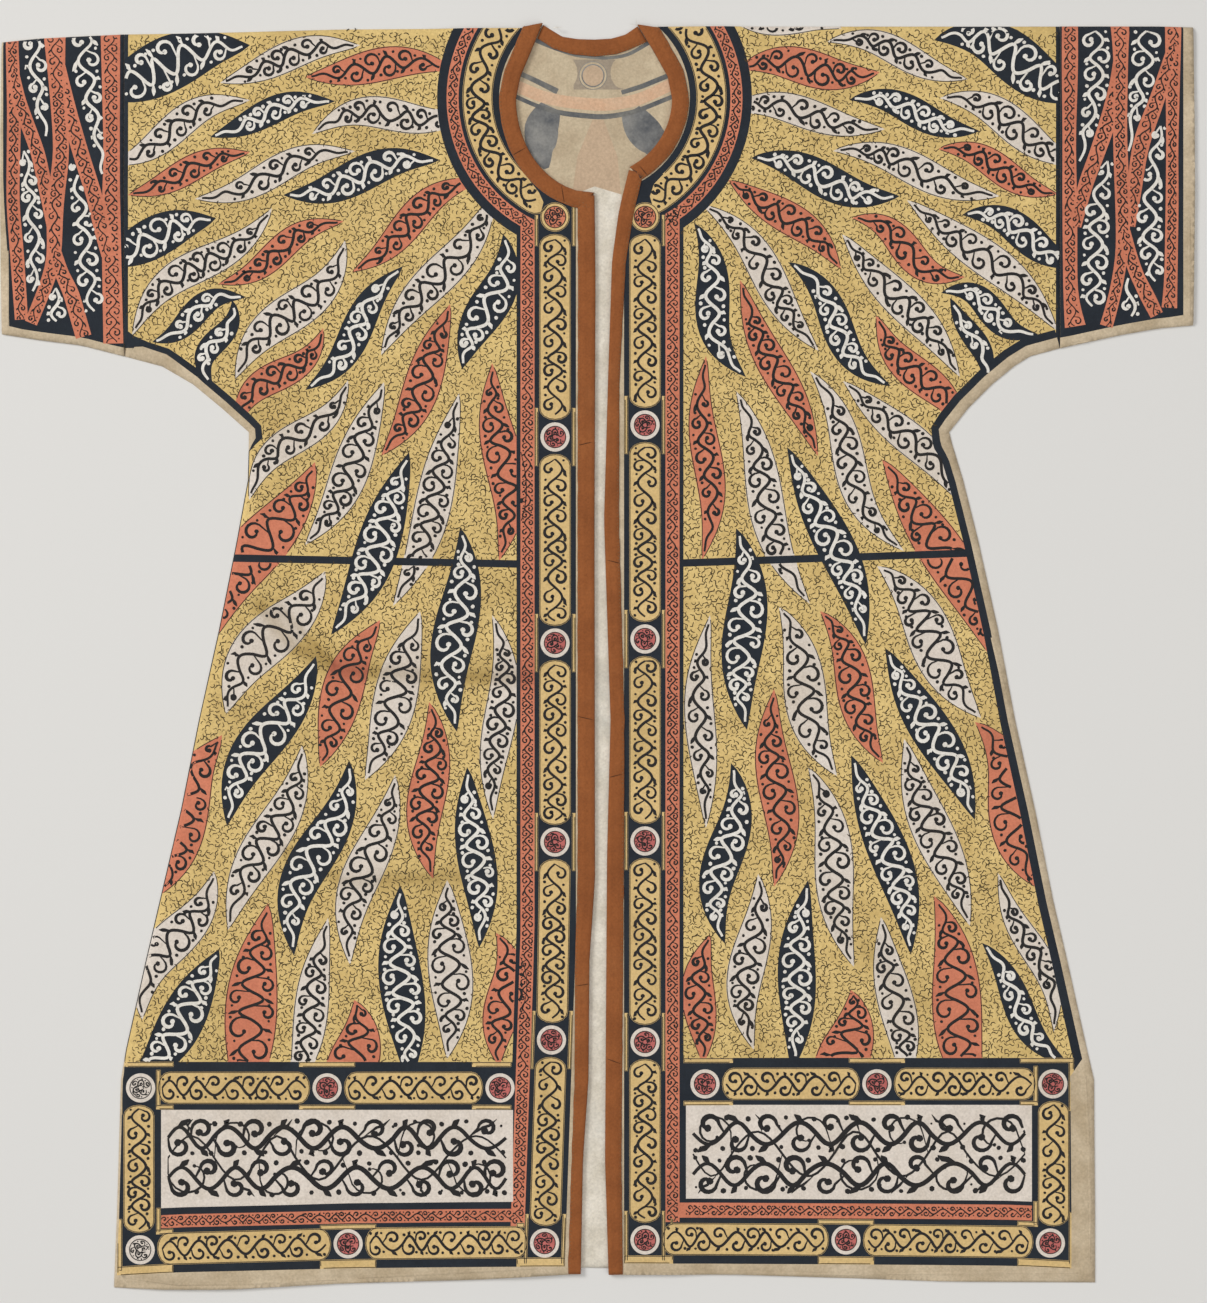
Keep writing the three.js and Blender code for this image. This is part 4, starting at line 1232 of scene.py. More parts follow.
def back_shapes():
    """The paint of the other side, as far as it shows through."""
    shapes = [
        ("reverse_pink", np.array(PINK_PANEL, float)),
        ("reverse_pale", np.array(SLIT_PALE, float)),
        ("reverse_taupe", box(-24, 26, 567, 597)),
        ("reverse", capsule((-110, 586), (-20, 583), 15.5)),
        ("reverse", capsule((13, 583), (110, 588), 15.5)),
    ]
    for finish, radius in zip(("reverse_smoke", "reverse", "reverse_smoke", "reverse_pink"), BACK_RADII):
        shapes.append((finish, circle(BACK_DISK, radius)))
    halves = SMOKY_HALF * np.sin(np.linspace(0.18, 0.97, 15) * np.pi) ** 0.8
    for route in SMOKY_LEAVES:
        shapes.append(("reverse_smoke", band_along(evenly(route, len(halves)), halves)))
    for finish, rows in SOAKED:
        shapes.append((finish, band_along(*smooth_line(rows))))
    return shapes


BACK_LOW, FOLD_SHARE = 0.35, 0.6
SLIT_FOLDS = (
    (0.5, 3, ((2, 470), (4, 300), (0, 120))),
    (0.4, 3, ((-1, -120), (3, -300), (-4, -480))),
    (0.5, 4, ((-6, -440), (2, -520), (-2, -610))),
    (-0.4, 3, ((6, -420), (-2, -500), (5, -600))),
    (0.4, 5, ((-40, 500), (-10, 470), (20, 486))),
)


def back_top(points):
    """The inner face of the back, a little low, with soft folds in the slit."""
    folds = [ridge(points, *fold) for fold in SLIT_FOLDS]
    grain = [0.12 * noise.noise(Vector((a / 16, b / 30, 5))) for a, b in points]
    return CLOTH - BACK_LOW + np.sum(folds, axis=0) * FOLD_SHARE + np.array(grain)


painted_sheet(
    "back_panel", resampled(back_outline(), 8, closed=True), back_shapes(), "reverse",
    back_top, lambda points: np.zeros(len(points)), "bare", step=9, under_step=40,
)

# %% [markdown]
# ## The tape
#
# A rust-brown tape is folded over every raw edge. A thin section is carried along the fold, with a
# slightly uneven width and soft puckers, and a UV map in metres so that the weave runs with it.

# %% Tape
TAPE_STEP = 4
PUCKER = 0.22
EDGE_WANDER = 0.55


def tape_piece(name, fold, inner, widths, seed, low=FRONT_LIFT, wrapped=True, cut=None):
    """A tape over an edge. fold is its line, inner the way into the cloth, cut a line to trim it at."""
    count = len(fold)
    wander = np.array([noise.noise(Vector((i * 0.21, seed, 0))) for i in range(count)])
    pucker = np.array([noise.noise(Vector((i * 0.55, seed, 9))) for i in range(count)])
    top = TAPE_TOP if wrapped else FRONT_LIFT + TAPE
    heel, foot = (low + 0.25, low) if wrapped else (0.25, 0.0)
    along = arc_length(fold)
    rings, coords = [], []
    for i in range(count):
        w = widths[i] + EDGE_WANDER * wander[i]
        lift = PUCKER * pucker[i]
        section = [
            (w, top - 0.75), (w - 0.5, top - 0.25 + lift * 0.3), (w * 0.6, top - 0.12 + lift),
            (w * 0.25, top - 0.05 + lift * 0.6), (1.0, top - 0.25), (0.25, top - 0.8), (0.0, top - 1.6),
            (0.0, low * 0.5 + 0.6), (0.3, heel), (1.2, foot),
        ]
        if wrapped:
            section += [(w * 0.92, low), (w * 0.92, low + 0.8), (1.2, low + 0.8), (1.1, top - 1.3)]
        else:
            section += [(1.4, top - 1.0)]
        section += [(w * 0.8, top - 0.95)]
        rings.append([(*(fold[i] + inner[i] * u), z) for u, z in section])
        coords.append([(along[i], u) for u, z in section])
    size = len(rings[0])
    corners = np.array(rings).reshape(-1, 3)
    coords = np.array(coords).reshape(-1, 2) * MM
    faces = []
    for i in range(count - 1):
        for k in range(size):
            a, b = i * size + k, i * size + (k + 1) % size
            faces.append((a, b, b + size, a + size))
    faces += [tuple(range(size))[::-1], tuple(range((count - 1) * size, count * size))]
    made = mesh_object(name, corners, faces, ["tape"])
    cleaner = bmesh.new()
    cleaner.from_mesh(made.data)
    layer = cleaner.loops.layers.uv.new("tape")
    for face in cleaner.faces:
        for loop in face.loops:
            loop[layer].uv = coords[loop.vert.index]
    if cut is not None:
        (ax, ay), (bx, by) = cut
        bmesh.ops.bisect_plane(
            cleaner, geom=cleaner.verts[:] + cleaner.edges[:] + cleaner.faces[:], clear_outer=True,
            plane_co=Vector((ax, ay, 0)) * MM, plane_no=Vector((ay - by, bx - ax, 0)),
        )
        bmesh.ops.holes_fill(cleaner, edges=[edge for edge in cleaner.edges if edge.is_boundary])
    bmesh.ops.triangulate(cleaner, faces=[f for f in cleaner.faces if len(f.verts) > 4])
    bmesh.ops.recalc_face_normals(cleaner, faces=cleaner.faces)
    cleaner.to_mesh(made.data)
    cleaner.free()
    print(name, len(made.data.polygons), "faces")
    return made


# %% Bind the edges
TAPES, TAPE_LENGTHS, SEWN_LINES = {}, {}, {}
SEWN_IN = 1.6
for side in SIGN:
    line = resampled(FOLD_LINE[side], TAPE_STEP)
    inward = normals_of(line) * SIGN[side]
    corner = NECK[side]["corner"]
    neck = line[:, 1] >= corner
    width = np.where(neck, NECK_TAPE, read(OPENING[side], "y", line[:, 1], "tape"))
    for key, part in (("neck_tape", neck), ("front_tape", ~neck)):
        node = f"{key}_{side}"
        TAPES[node] = tape_piece(
            f"bound_{node}", line[part], inward[part], width[part], len(TAPES) * 7 + 1,
            cut=NECK_CUT[side] if key == "neck_tape" else None,
        )
        TAPE_LENGTHS[node] = arc_length(line[part])[-1]
        SEWN_LINES[node] = (line + inward * (width - SEWN_IN)[:, None])[part]
back_fold = evenly(np.column_stack([BACK_TAPE["fold_x"], BACK_TAPE["fold_y"]]), 32)
back_sewn = evenly(np.column_stack([BACK_TAPE["sewn_x"], BACK_TAPE["sewn_y"]]), 32)
reach = np.hypot(*(back_sewn - back_fold).T)
TAPE_LENGTHS["neck_tape_back"] = arc_length(back_fold)[-1]
SEWN_LINES["neck_tape_back"] = back_sewn + (back_fold - back_sewn) / reach[:, None] * SEWN_IN
TAPES["neck_tape_back"] = tape_piece(
    "bound_neck_tape_back", back_fold, (back_sewn - back_fold) / reach[:, None], reach, 77,
    low=0.0, wrapped=False,
)

# %% [markdown]
# ## The pen
#
# A reed pen swells in the middle of a stroke and thins at its ends. A stroke is a line with a
# width, drawn as a flat ribbon of ink that is dropped onto the cloth from above. Each stroke also
# names the colour that it was drawn on, and is cut where another colour begins.

# %% Strokes
INK_LIFT = 0.16
DROP_FROM = 60
STROKES = {}


def draw(surface, ink, on, points, width, swell=0.65):
    """Keeps a stroke: on one surface, in one ink, on one painted colour."""
    points = np.asarray(points, float)
    share = np.linspace(0, 1, len(points))
    halves = width / 2 * (1 - swell + swell * np.sin(np.pi * share) ** 0.7)
    STROKES.setdefault((surface, ink), []).append((points, halves, on))


def kept_points(on, points, colours):
    """Where a stroke is on its own colour, within its own shape and outside the shapes laid over it."""
    finish, within, over = on if isinstance(on, tuple) else (on, None, ())
    kept = colours == finish
    if within is not None:
        kept &= inside(points, within)
    for shape in over:
        kept &= ~inside(points, shape)
    return kept


def dot(surface, ink, on, centre, size, turn=0.0):
    """A round dot of the pen."""
    way = np.array((math.cos(turn), math.sin(turn))) * size / 2
    points = np.array([centre - way, centre - way * 0.5, centre + way * 0.5, centre + way])
    halves = size / 2 * np.array((0.25, 0.88, 0.88, 0.25))
    STROKES.setdefault((surface, ink), []).append((points, halves, on))


# %% Ink on the cloth
def dropped(surface, points):
    """Where points land when they are dropped onto a surface, or None beside it."""
    down = Vector((0, 0, -1))
    return [SURFACES[surface].ray_cast(Vector((x, y, DROP_FROM)), down)[0] for x, y in points]


def ink_mesh(name, surface, ink, shapes, base, rise=0.0):
    """All strokes of one ink on one surface, as ribbons that lie on the cloth, with a ridge if they rise."""
    strokes = STROKES.get((surface, ink), [])
    colours = finish_at(np.vstack([points for points, _, _ in strokes]), shapes, base)
    ribbons, at = [], 0
    for points, halves, on in strokes:
        kept = kept_points(on, points, colours[at:at + len(points)])
        at += len(points)
        edges = np.flatnonzero(np.diff(np.concatenate([[0], kept.astype(int), [0]])))
        for start, end in zip(edges[::2], edges[1::2]):
            if end - start > 2:
                ribbons.append((points[start:end], halves[start:end]))
    flat, faces, lift = [], [], []
    count = 0
    for points, halves in ribbons:
        off = normals_of(points) * halves[:, None]
        size = len(points)
        step = np.arange(size - 1)
        rows = (points + off, points, points - off) if rise else (points + off, points - off)
        for k in range(len(rows) - 1):
            a = step + k * size
            faces.append(count + np.column_stack([a, a + size, a + size + 1]))
            faces.append(count + np.column_stack([a, a + size + 1, a + 1]))
        flat += rows
        lift += [np.full(size, INK_LIFT + rise * (rise > 0 and k == 1)) for k in range(len(rows))]
        count += len(rows) * size
    flat, faces, lift = np.vstack(flat), np.vstack(faces), np.concatenate(lift)
    heights, good = np.zeros(len(flat)), np.zeros(len(flat), bool)
    for i, hit in enumerate(dropped(surface, flat)):
        if hit is not None:
            heights[i], good[i] = hit.z, True
    corners = np.column_stack([flat, heights + lift])
    corners, faces = only_used(corners, faces[good[faces].all(axis=1)])
    made = mesh_object(name, corners, faces, [ink])
    print(name, len(ribbons), "strokes,", len(faces), "triangles")
    return made


# %% [markdown]
# ## The pen drawing
#
# The drawing is vine scroll, an old ornament: a waving stem with a curl in every hollow, a leaflet
# on every crest, and dots between. One function draws it inside any band, given the line down its
# middle and its half width, so it fills leaves, cartouches, rings, roundels and panels alike.


# %% Vine scroll
# Shares of a stride or of the half width, and the ranges that vary them
STRIDE_RANGE, CURL_TURNS, CURL_SIZES = (0.72, 1.3), (1.35, 1.8), (0.86, 1.06)
CURL_FILL, CURL_TIGHT = (0.56, 0.54), 0.62
LEAST_ROOM = 1.7
LEAFLET_TIPS = (-0.12, 0.3)
SPOTS, SPOT_SHARE = ((0.42, 0.86), (-0.44, 0.8)), 0.85


def vine(surface, ink, on, spine, half, pitch, pen, chance, wave=0.5):
    """Vine scroll along a spine. half is the half width, a number or one value for each point."""
    spine = np.asarray(spine, float)
    at = arc_length(spine)
    normal = normals_of(spine)
    length = at[-1]
    halves = np.broadcast_to(np.asarray(half, float), (len(spine),))

    def place(s, t):
        s = np.asarray(s, float)
        return np.column_stack([
            np.interp(s, at, spine[:, 0]) + np.interp(s, at, normal[:, 0]) * t,
            np.interp(s, at, spine[:, 1]) + np.interp(s, at, normal[:, 1]) * t,
        ])

    turns = max(2, round(length / pitch))
    knots = np.concatenate([[0], np.cumsum([chance.uniform(*STRIDE_RANGE) for _ in range(turns)])])
    knots *= length / knots[-1]
    phase = chance.choice((1, -1))
    s = np.linspace(0, length, turns * 8 + 1)
    room = np.interp(s, at, halves) - pen * 0.6
    swing = np.sin(np.pi * np.interp(s, knots, np.arange(turns + 1)))
    draw(surface, ink, on, place(s, phase * wave * np.maximum(room, 0) * swing), pen, swell=0.35)
    for k in range(turns):
        middle, stride = (knots[k] + knots[k + 1]) / 2, knots[k + 1] - knots[k]
        room = float(np.interp(middle, at, halves)) - pen * 0.75
        if room < LEAST_ROOM * pen:
            continue
        side = -phase * (1 if k % 2 == 0 else -1)
        radius = min(room * CURL_FILL[0], stride * CURL_FILL[1]) * chance.uniform(*CURL_SIZES)
        heart = side * (room - radius)
        turn = np.linspace(0, np.pi * chance.uniform(*CURL_TURNS), 13)
        shrink = radius * (1 - CURL_TIGHT * turn / turn[-1])
        curl_s = np.concatenate([[middle - stride * 0.5], middle - shrink * np.cos(turn)])
        curl_t = np.concatenate([[0], heart + side * shrink * np.sin(turn)])
        draw(surface, ink, on, place(curl_s, curl_t), pen * chance.uniform(0.85, 1.15))
        dot(surface, ink, on, place([curl_s[-1]], [curl_t[-1]])[0], pen * 1.5, chance.uniform(0, 3))
        crest = -side * wave * room
        tip_s = middle + stride * chance.uniform(*LEAFLET_TIPS)
        leaflet = place(
            [middle - stride * 0.1, mix(middle, tip_s, 0.5), tip_s, tip_s + stride * 0.12],
            [crest, crest - side * room * 0.22, -side * room * 0.82, -side * room * 0.98],
        )
        draw(surface, ink, on, leaflet, pen * 1.25, swell=0.8)
        for reach, drift in SPOTS:
            if chance.random() < SPOT_SHARE:
                beside = -side * room * drift * chance.uniform(0.85, 1.05)
                spot = place([middle + stride * reach], [beside])[0]
                dot(surface, ink, on, spot, pen * chance.uniform(0.85, 1.2), chance.uniform(0, 3))


# %% Draw on the fronts
# Widths of the strokes, bold enough to read from a few steps away
PEN = {
    "leaf": 3.15, "cartouche": 2.8, "ring": 3.2, "roundel": 1.4, "band": 1.45, "panel": 5, "panel_fine": 2.5,
}
LEAF_PITCH, BAND_PITCH = 16, 8.2
OUTLINE_PEN = 0.8
BORDER_LINE = 0.7
INK_ON = {"navy": "white_ink", "cream": "ink", "coral": "ink"}


def draw_leaves(side, chance):
    """A vine in each leaf, and a thin outline round the light ones."""
    for leaf in LEAVES[side]:
        finish, spine = leaf["finish"], leaf["spine"]
        one, other = leaf_widths(leaf["half"], len(spine))
        middle = spine + normals_of(spine) * ((one - other) / 2)[:, None]
        room = (one + other) / 2 - 1.0
        kept = room > 1.2
        pen = PEN["leaf"] * (0.95 if finish == "coral" else 1.08 if finish == "navy" else 1)
        # Strokes end at the leaf's own outline, and where the lower block covers the leaf
        on = (finish, leaf_outline(spine, leaf["half"]), [BORDERS[side][0][2][1]])
        pitch = LEAF_PITCH * chance.uniform(0.9, 1.1)
        vine(side, INK_ON[finish], on, middle[kept], room[kept], pitch, pen, chance)
        if finish != "navy":
            edge = leaf_outline(spine, leaf["half"] - 0.7)
            edge = resampled(edge, 5, closed=True)
            draw(side, "ink", finish, np.vstack([edge, edge[:1]]), OUTLINE_PEN, swell=0)


def draw_borders(side, chance):
    """Vines in the cartouches and coral bands, a rosette in each roundel, and thin outlines."""
    shapes, cartouches, roundels = BORDERS[side]
    for a, b, half in cartouches:
        a, b = np.asarray(a), np.asarray(b)
        count = max(6, int(np.hypot(*(b - a)) / 8))
        line = a + (b - a) * np.linspace(0.03, 0.97, count)[:, None]
        vine(side, "ink", "ochre", line, half - 1.7, 16, PEN["cartouche"], chance, wave=0.58)
    for centre, on in roundels:
        vine(side, "ink", on, circle(centre, ROUNDEL["disk"] * 0.52, 17), 5.0, 6, PEN["roundel"], chance)
        ring = circle(centre, ROUNDEL["disk"] - 0.5, 24)
        draw(side, "ink", on, np.vstack([ring, ring[:1]]), 0.9, swell=0)
    for finish, shape in shapes:
        if finish == "ochre":
            edge = resampled(shape, 4, closed=True)
            x, y = shape.T
            turn = 1 if np.sum(x * np.roll(y, -1) - y * np.roll(x, -1)) > 0 else -1
            edge = np.vstack([edge, edge[:1]])
            draw(side, "ink", "ochre", edge + normals_of(edge) * turn * BORDER_LINE, BORDER_LINE, swell=0)
    turn = np.radians(np.linspace(RING_SPAN["top"], RING_SPAN["end"], 60))
    way = np.column_stack([SIGN[side] * np.cos(turn), np.sin(turn)])
    middle = (RING["cartouche_in"] + RING["cartouche_out"]) / 2
    vine(side, "ink", "ochre", NECK_CENTRE + middle * way, 14.2, 16, PEN["ring"], chance, wave=0.55)
    coral_middle = (RING["coral_in"] + RING["coral_out"]) / 2
    vine(side, "ink", "coral", NECK_CENTRE + coral_middle * way, 5.6, BAND_PITCH, PEN["band"], chance)
    rows = np.linspace(462, BLOCK["coral_bottom"][BLOCK_SIDE[side]], 150)
    coral = (COLUMN["coral_in"] + COLUMN["coral_out"]) / 2
    line = np.column_stack([column_x(side, coral, rows), rows])
    vine(side, "ink", "coral", line, 6.6, BAND_PITCH, PEN["band"], chance)


def draw_block(side, chance):
    """The coral band under the panel, and the large vines in the panel."""
    at = {key: column[BLOCK_SIDE[side]] for key, column in BLOCK.items()}
    far, near = PANEL[side]
    coral = (at["coral_top"] + at["coral_bottom"]) / 2
    across = np.linspace(far, near, 60)
    line = np.column_stack([across, leaned(side, across, np.full(60, coral))])
    vine(side, "ink", "coral", line, 6, BAND_PITCH, PEN["band"], chance)
    top, low = at["panel_top"], at["panel_bottom"]
    xs = np.linspace(far - SIGN[side] * 7, near + SIGN[side] * 7, 60)
    height = top - low
    for share, half, pitch, pen in (
        (0.29, 0.235, 29, PEN["panel"]), (0.71, 0.235, 29, PEN["panel"]), (0.5, 0.43, 46, PEN["panel_fine"]),
    ):
        line = np.column_stack([xs, np.full(60, low + height * share)])
        vine(side, "ink", "cream", line, height * half, pitch, pen, chance, wave=0.55)


# %% Let the pen run over both fronts
PEN_SEED = {"left": 5, "right": 8}
INKS = []
for side in SIGN:
    pen_chance = random.Random(PEN_SEED[side])
    draw_leaves(side, pen_chance)
    draw_borders(side, pen_chance)
    draw_block(side, pen_chance)
    for ink in ("ink", "white_ink"):
        made = ink_mesh(f"{ink}_drawing_front_{side}", side, ink, SHAPES[side], "yellow")
        INKS.append((made, "painted_cotton"))


# %% Draw on the sleeve ends
SLEEVE_PEN = {"white": 3.3, "band": 1.45}


def draw_sleeve(side, chance):
    """White vines on the dark spaces, and fine ones along the bands."""
    name = f"sleeve_{side}"
    for rows in SLEEVE_GAPS[side]:
        middle, halves = smooth_line(rows, 40)
        vine(name, "white_ink", "navy", middle, halves, 19, SLEEVE_PEN["white"], chance)
    lines = [smooth_line(rows, 50) for rows in SLEEVE_BANDS[side]]
    bands = [band_along(*line) for line in lines]
    for k, (middle, halves) in enumerate(lines):
        on = ("coral", None, bands[k + 1:])
        vine(name, "ink", on, middle, halves * 0.85, 10, SLEEVE_PEN["band"], chance)


for side in SIGN:
    draw_sleeve(side, random.Random(PEN_SEED[side] + 40))
    for ink in ("ink", "white_ink"):
        name = f"{ink}_drawing_sleeve_{side}"
        INKS.append((ink_mesh(name, f"sleeve_{side}", ink, SLEEVE_SHAPES[side], "bare"), "painted_sleeve"))

# %% [markdown]
# ## Small marks on the yellow ground
#
# Thousands of tiny pen marks fill the yellow net. They repeat, so Geometry Nodes scatter them: the
# yellow faces are picked, points are spread with an even spacing, and each gets one of a few marks,
# turned at random and laid flat on the cloth. Points where the cloth is steep are left out.

# %% The small marks themselves
MARK_PEN = 0.72
MARK_GAP, MARK_SIZE = 3.4, 1.38
MOST_MARKS = 120000.0
# Marks lie where the cloth's normal rises at least this much
LEVEL = 0.96
MARKS = {
    "comma": ((0, -1.6), (0.5, -0.6), (0.3, 0.6), (-0.5, 1.5)),
    "hook": ((-1.7, 0.6), (-1.2, -0.7), (0.1, -1.2), (1.3, -0.6), (1.5, 0.7)),
    "tick": ((-1.5, 0.4), (-0.4, -0.6), (1.9, 1.1)),
    "wave": ((-2.3, 0), (-1.2, 0.8), (0, 0), (1.2, -0.8), (2.3, 0)),
    "tendril": ((-1.8, -0.8), (-0.6, 0.9), (0.8, 1), (1.3, 0), (0.5, -0.5)),
}


def mark_collection():
    """The small marks, flat in the XY plane, in a collection of their own."""
    marks = bpy.data.collections.new("pen_marks")
    for name, route in MARKS.items():
        line = np.array(route, float)
        halves = MARK_PEN / 2 * np.sin(np.linspace(0.22, 0.9, len(line)) * np.pi) ** 0.6
        off = normals_of(line) * halves[:, None]
        corners = np.column_stack([np.vstack([line + off, line - off]), np.zeros(2 * len(line))])
        size = len(line)
        faces = [(k, k + size, k + size + 1, k + 1) for k in range(size - 1)]
        made = mesh_object(f"mark_{name}", corners, faces, ["ink"], soft=False)
        bpy.context.scene.collection.objects.unlink(made)
        marks.objects.link(made)
    return marks


# %% A tree that spreads the marks
def new_tree(name, result, inputs):
    """A Geometry Nodes tree with named inputs and one result, and the sockets that give its inputs."""
    tree = bpy.data.node_groups.new(name, "GeometryNodeTree")
    for key, kind in inputs.items():
        tree.interface.new_socket(key, in_out="INPUT", socket_type=f"NodeSocket{kind}")
    tree.interface.new_socket(result, in_out="OUTPUT", socket_type="NodeSocketGeometry")
    return tree, add(tree, "NodeGroupInput").outputs


def scatter_tree():
    """Even points on the faces of one material, each with a mark laid on the face."""
    tree, given = new_tree("scatter_pen_marks", "Drawing", {
        "Cloth": "Geometry", "Painted": "Material", "Spacing": "Float", "Size": "Float", "Lift": "Float",
        "Seed": "Int", "Marks": "Collection", "Ink": "Material",
    })
    picked = add(tree, "GeometryNodeMaterialSelection", {"Material": given["Painted"]})
    spread = add(tree, "GeometryNodeDistributePointsOnFaces", {
        "Mesh": given["Cloth"], "Selection": picked.outputs[0], "Distance Min": given["Spacing"],
        "Density Max": MOST_MARKS, "Seed": given["Seed"],
    }, distribute_method="POISSON")
    up = add(tree, "FunctionNodeRotateVector", {"Vector": (0, 0, 1), "Rotation": spread.outputs["Rotation"]})
    facing = add(tree, "ShaderNodeSeparateXYZ", {"Vector": up.outputs[0]})
    steep = add(tree, "FunctionNodeCompare", {
        0: facing.outputs["Z"], 1: LEVEL,
    }, data_type="FLOAT", operation="LESS_THAN")
    level = add(tree, "GeometryNodeDeleteGeometry", {
        "Geometry": spread.outputs["Points"], "Selection": steep.outputs[0],
    }, domain="POINT")
    marks = add(tree, "GeometryNodeCollectionInfo", {
        "Collection": given["Marks"], "Separate Children": True, "Reset Children": True,
    })
    which = add(tree, "FunctionNodeRandomValue", {4: 0, 5: len(MARKS) - 1, "Seed": 3}, data_type="INT")
    spin = add(tree, "FunctionNodeRandomValue", {2: 0.0, 3: 2 * math.pi, "Seed": 4}, data_type="FLOAT")
    grow = add(tree, "FunctionNodeRandomValue", {2: 0.7, 3: 1.25, "Seed": 5}, data_type="FLOAT")
    turn = add(tree, "FunctionNodeAxisAngleToRotation", {"Axis": (0, 0, 1), "Angle": spin.outputs[1]})
    rotate = add(tree, "FunctionNodeRotateRotation", {
        "Rotation": spread.outputs["Rotation"], "Rotate By": turn.outputs[0],
    }, rotation_space="LOCAL")
    size = add(tree, "ShaderNodeMath", {0: grow.outputs[1], 1: given["Size"]}, operation="MULTIPLY")
    laid = add(tree, "GeometryNodeInstanceOnPoints", {
        "Points": level.outputs[0], "Instance": marks.outputs[0], "Pick Instance": True,
        "Instance Index": which.outputs[2], "Rotation": rotate.outputs[0], "Scale": size.outputs[0],
    })
    real = add(tree, "GeometryNodeRealizeInstances", {"Geometry": laid.outputs[0]})
    lift = add(tree, "ShaderNodeCombineXYZ", {"Z": given["Lift"]})
    raised = add(tree, "GeometryNodeSetPosition", {"Geometry": real.outputs[0], "Offset": lift.outputs[0]})
    inked = add(tree, "GeometryNodeSetMaterial", {"Geometry": raised.outputs[0], "Material": given["Ink"]})
    add(tree, "NodeGroupOutput", {0: inked.outputs[0]})
    return tree


# %% Run the tree on both fronts
def from_nodes(name, source, tree, values):
    """Runs a Geometry Nodes tree on a copy of a mesh and keeps the result as a plain mesh."""
    worker = bpy.data.objects.new(name + "_worker", source.copy())
    bpy.context.scene.collection.objects.link(worker)
    modifier = worker.modifiers.new("nodes", "NODES")
    modifier.node_group = tree
    ids = {item.name: item.identifier for item in tree.interface.items_tree if item.in_out == "INPUT"}
    for key, value in values.items():
        modifier[ids[key]] = value
    graph = bpy.context.evaluated_depsgraph_get()
    mesh = bpy.data.meshes.new_from_object(worker.evaluated_get(graph))
    mesh.name = name
    bpy.data.objects.remove(worker)
    made = bpy.data.objects.new(name, mesh)
    bpy.context.scene.collection.objects.link(made)
    print(name, len(mesh.polygons), "faces")
    return made


MARK_TREE, MARK_SHAPES = scatter_tree(), mark_collection()
for side in SIGN:
    made = from_nodes(f"small_marks_yellow_{side}", FRONTS[side].data, MARK_TREE, {
        "Painted": FINISHES["yellow"], "Spacing": MARK_GAP * MM, "Size": MARK_SIZE,
        "Lift": INK_LIFT * MM * 0.6, "Seed": PEN_SEED[side], "Marks": MARK_SHAPES,
        "Ink": FINISHES["thin_ink"],
    })
    INKS.append((made, "painted_cotton"))
for mark in list(MARK_SHAPES.objects):
    bpy.data.objects.remove(mark)
bpy.data.collections.remove(MARK_SHAPES)

# %% [markdown]
# ## Folds, stitches and loose threads
#
# The hem and the plain margins are turned under once, which shows as a low ridge along them. The
# tape is sewn down along its inner edge with small running stitches: a Geometry Nodes tree sets
# one along each line at an even pitch. Creases of the tape at the neck are dark lines of painted shade.

# %% Ridges of the turned hems, and painted shade in the creases of the tape
HEM_RIDGE = {"width": 3.2, "rise": 0.5}
HEM_LINES = {
    "left": (
        ((-470, -622), (-420, -629), (-350, -627.5), (-262, -624)), ((-240, -622), (-150, -617), (-60, -612)),
    ),
    "right": (
        ((488, -420), (491, -480), (493, -560), (492, -606)), ((480, -617), (400, -616.5), (290, -618)),
        ((262, -619), (160, -617), (60, -616)), ((374, 98), (392, 30), (420, -90), (446, -200)),
    ),
}
SLEEVE_LINES = {
    "left": (((-591, 440), (-590, 330)), ((-572, 327), (-520, 320), (-482, 315))),
    "right": (((592, 440), (592, 340)), ((580, 331), (530, 320), (474, 312))),
}
# Lines of painted shade where the tape creases
TAPE_CREASE_SHADE_LINES = {
    "neck_tape_left": (((-36, 470), (-33, 452)), ((-86, 500), (-72, 508))),
    "neck_tape_right": (((31, 484), (46, 470)), ((42, 490), (52, 478))),
    "front_tape_left": (((-21, -60), (-4, -64)), ((-22, 210), (-5, 214)), ((-22, -330), (-4, -327))),
    "front_tape_right": (((9, -122), (25, -118)), ((9, 96), (25, 92)), ((8, -402), (24, -408))),
}
for side in SIGN:
    for surface, lines, base, shapes, slot in (
        (side, HEM_LINES, "yellow", SHAPES[side], "painted_cotton"),
        (f"sleeve_{side}", SLEEVE_LINES, "bare", SLEEVE_SHAPES[side], "painted_sleeve"),
    ):
        for line in lines[side]:
            draw(surface, "bare", "bare", resampled(line, 6), HEM_RIDGE["width"], swell=0.5)
        made = ink_mesh(f"hem_ridge_{surface}", surface, "bare", shapes, base, HEM_RIDGE["rise"])
        INKS.append((made, slot))
for node, piece in TAPES.items():
    corners = [v.co / MM for v in piece.data.vertices]
    SURFACES[node] = BVHTree.FromPolygons(corners, [tuple(face.vertices) for face in piece.data.polygons])
    # Each crease of the tape is drawn as a dark ribbon of painted shade
    if node in TAPE_CREASE_SHADE_LINES:
        for line in TAPE_CREASE_SHADE_LINES[node]:
            draw(node, "tape_crease_shade", "tape", resampled(line, 2), 0.9, swell=0.9)
        INKS.append((ink_mesh(f"creases_{node}", node, "tape_crease_shade", [], "tape"), "rust_tape"))

# %% Running stitches
STITCH = {"pitch": 3.6, "long": 1.9, "wide": 0.55, "high": 0.4}


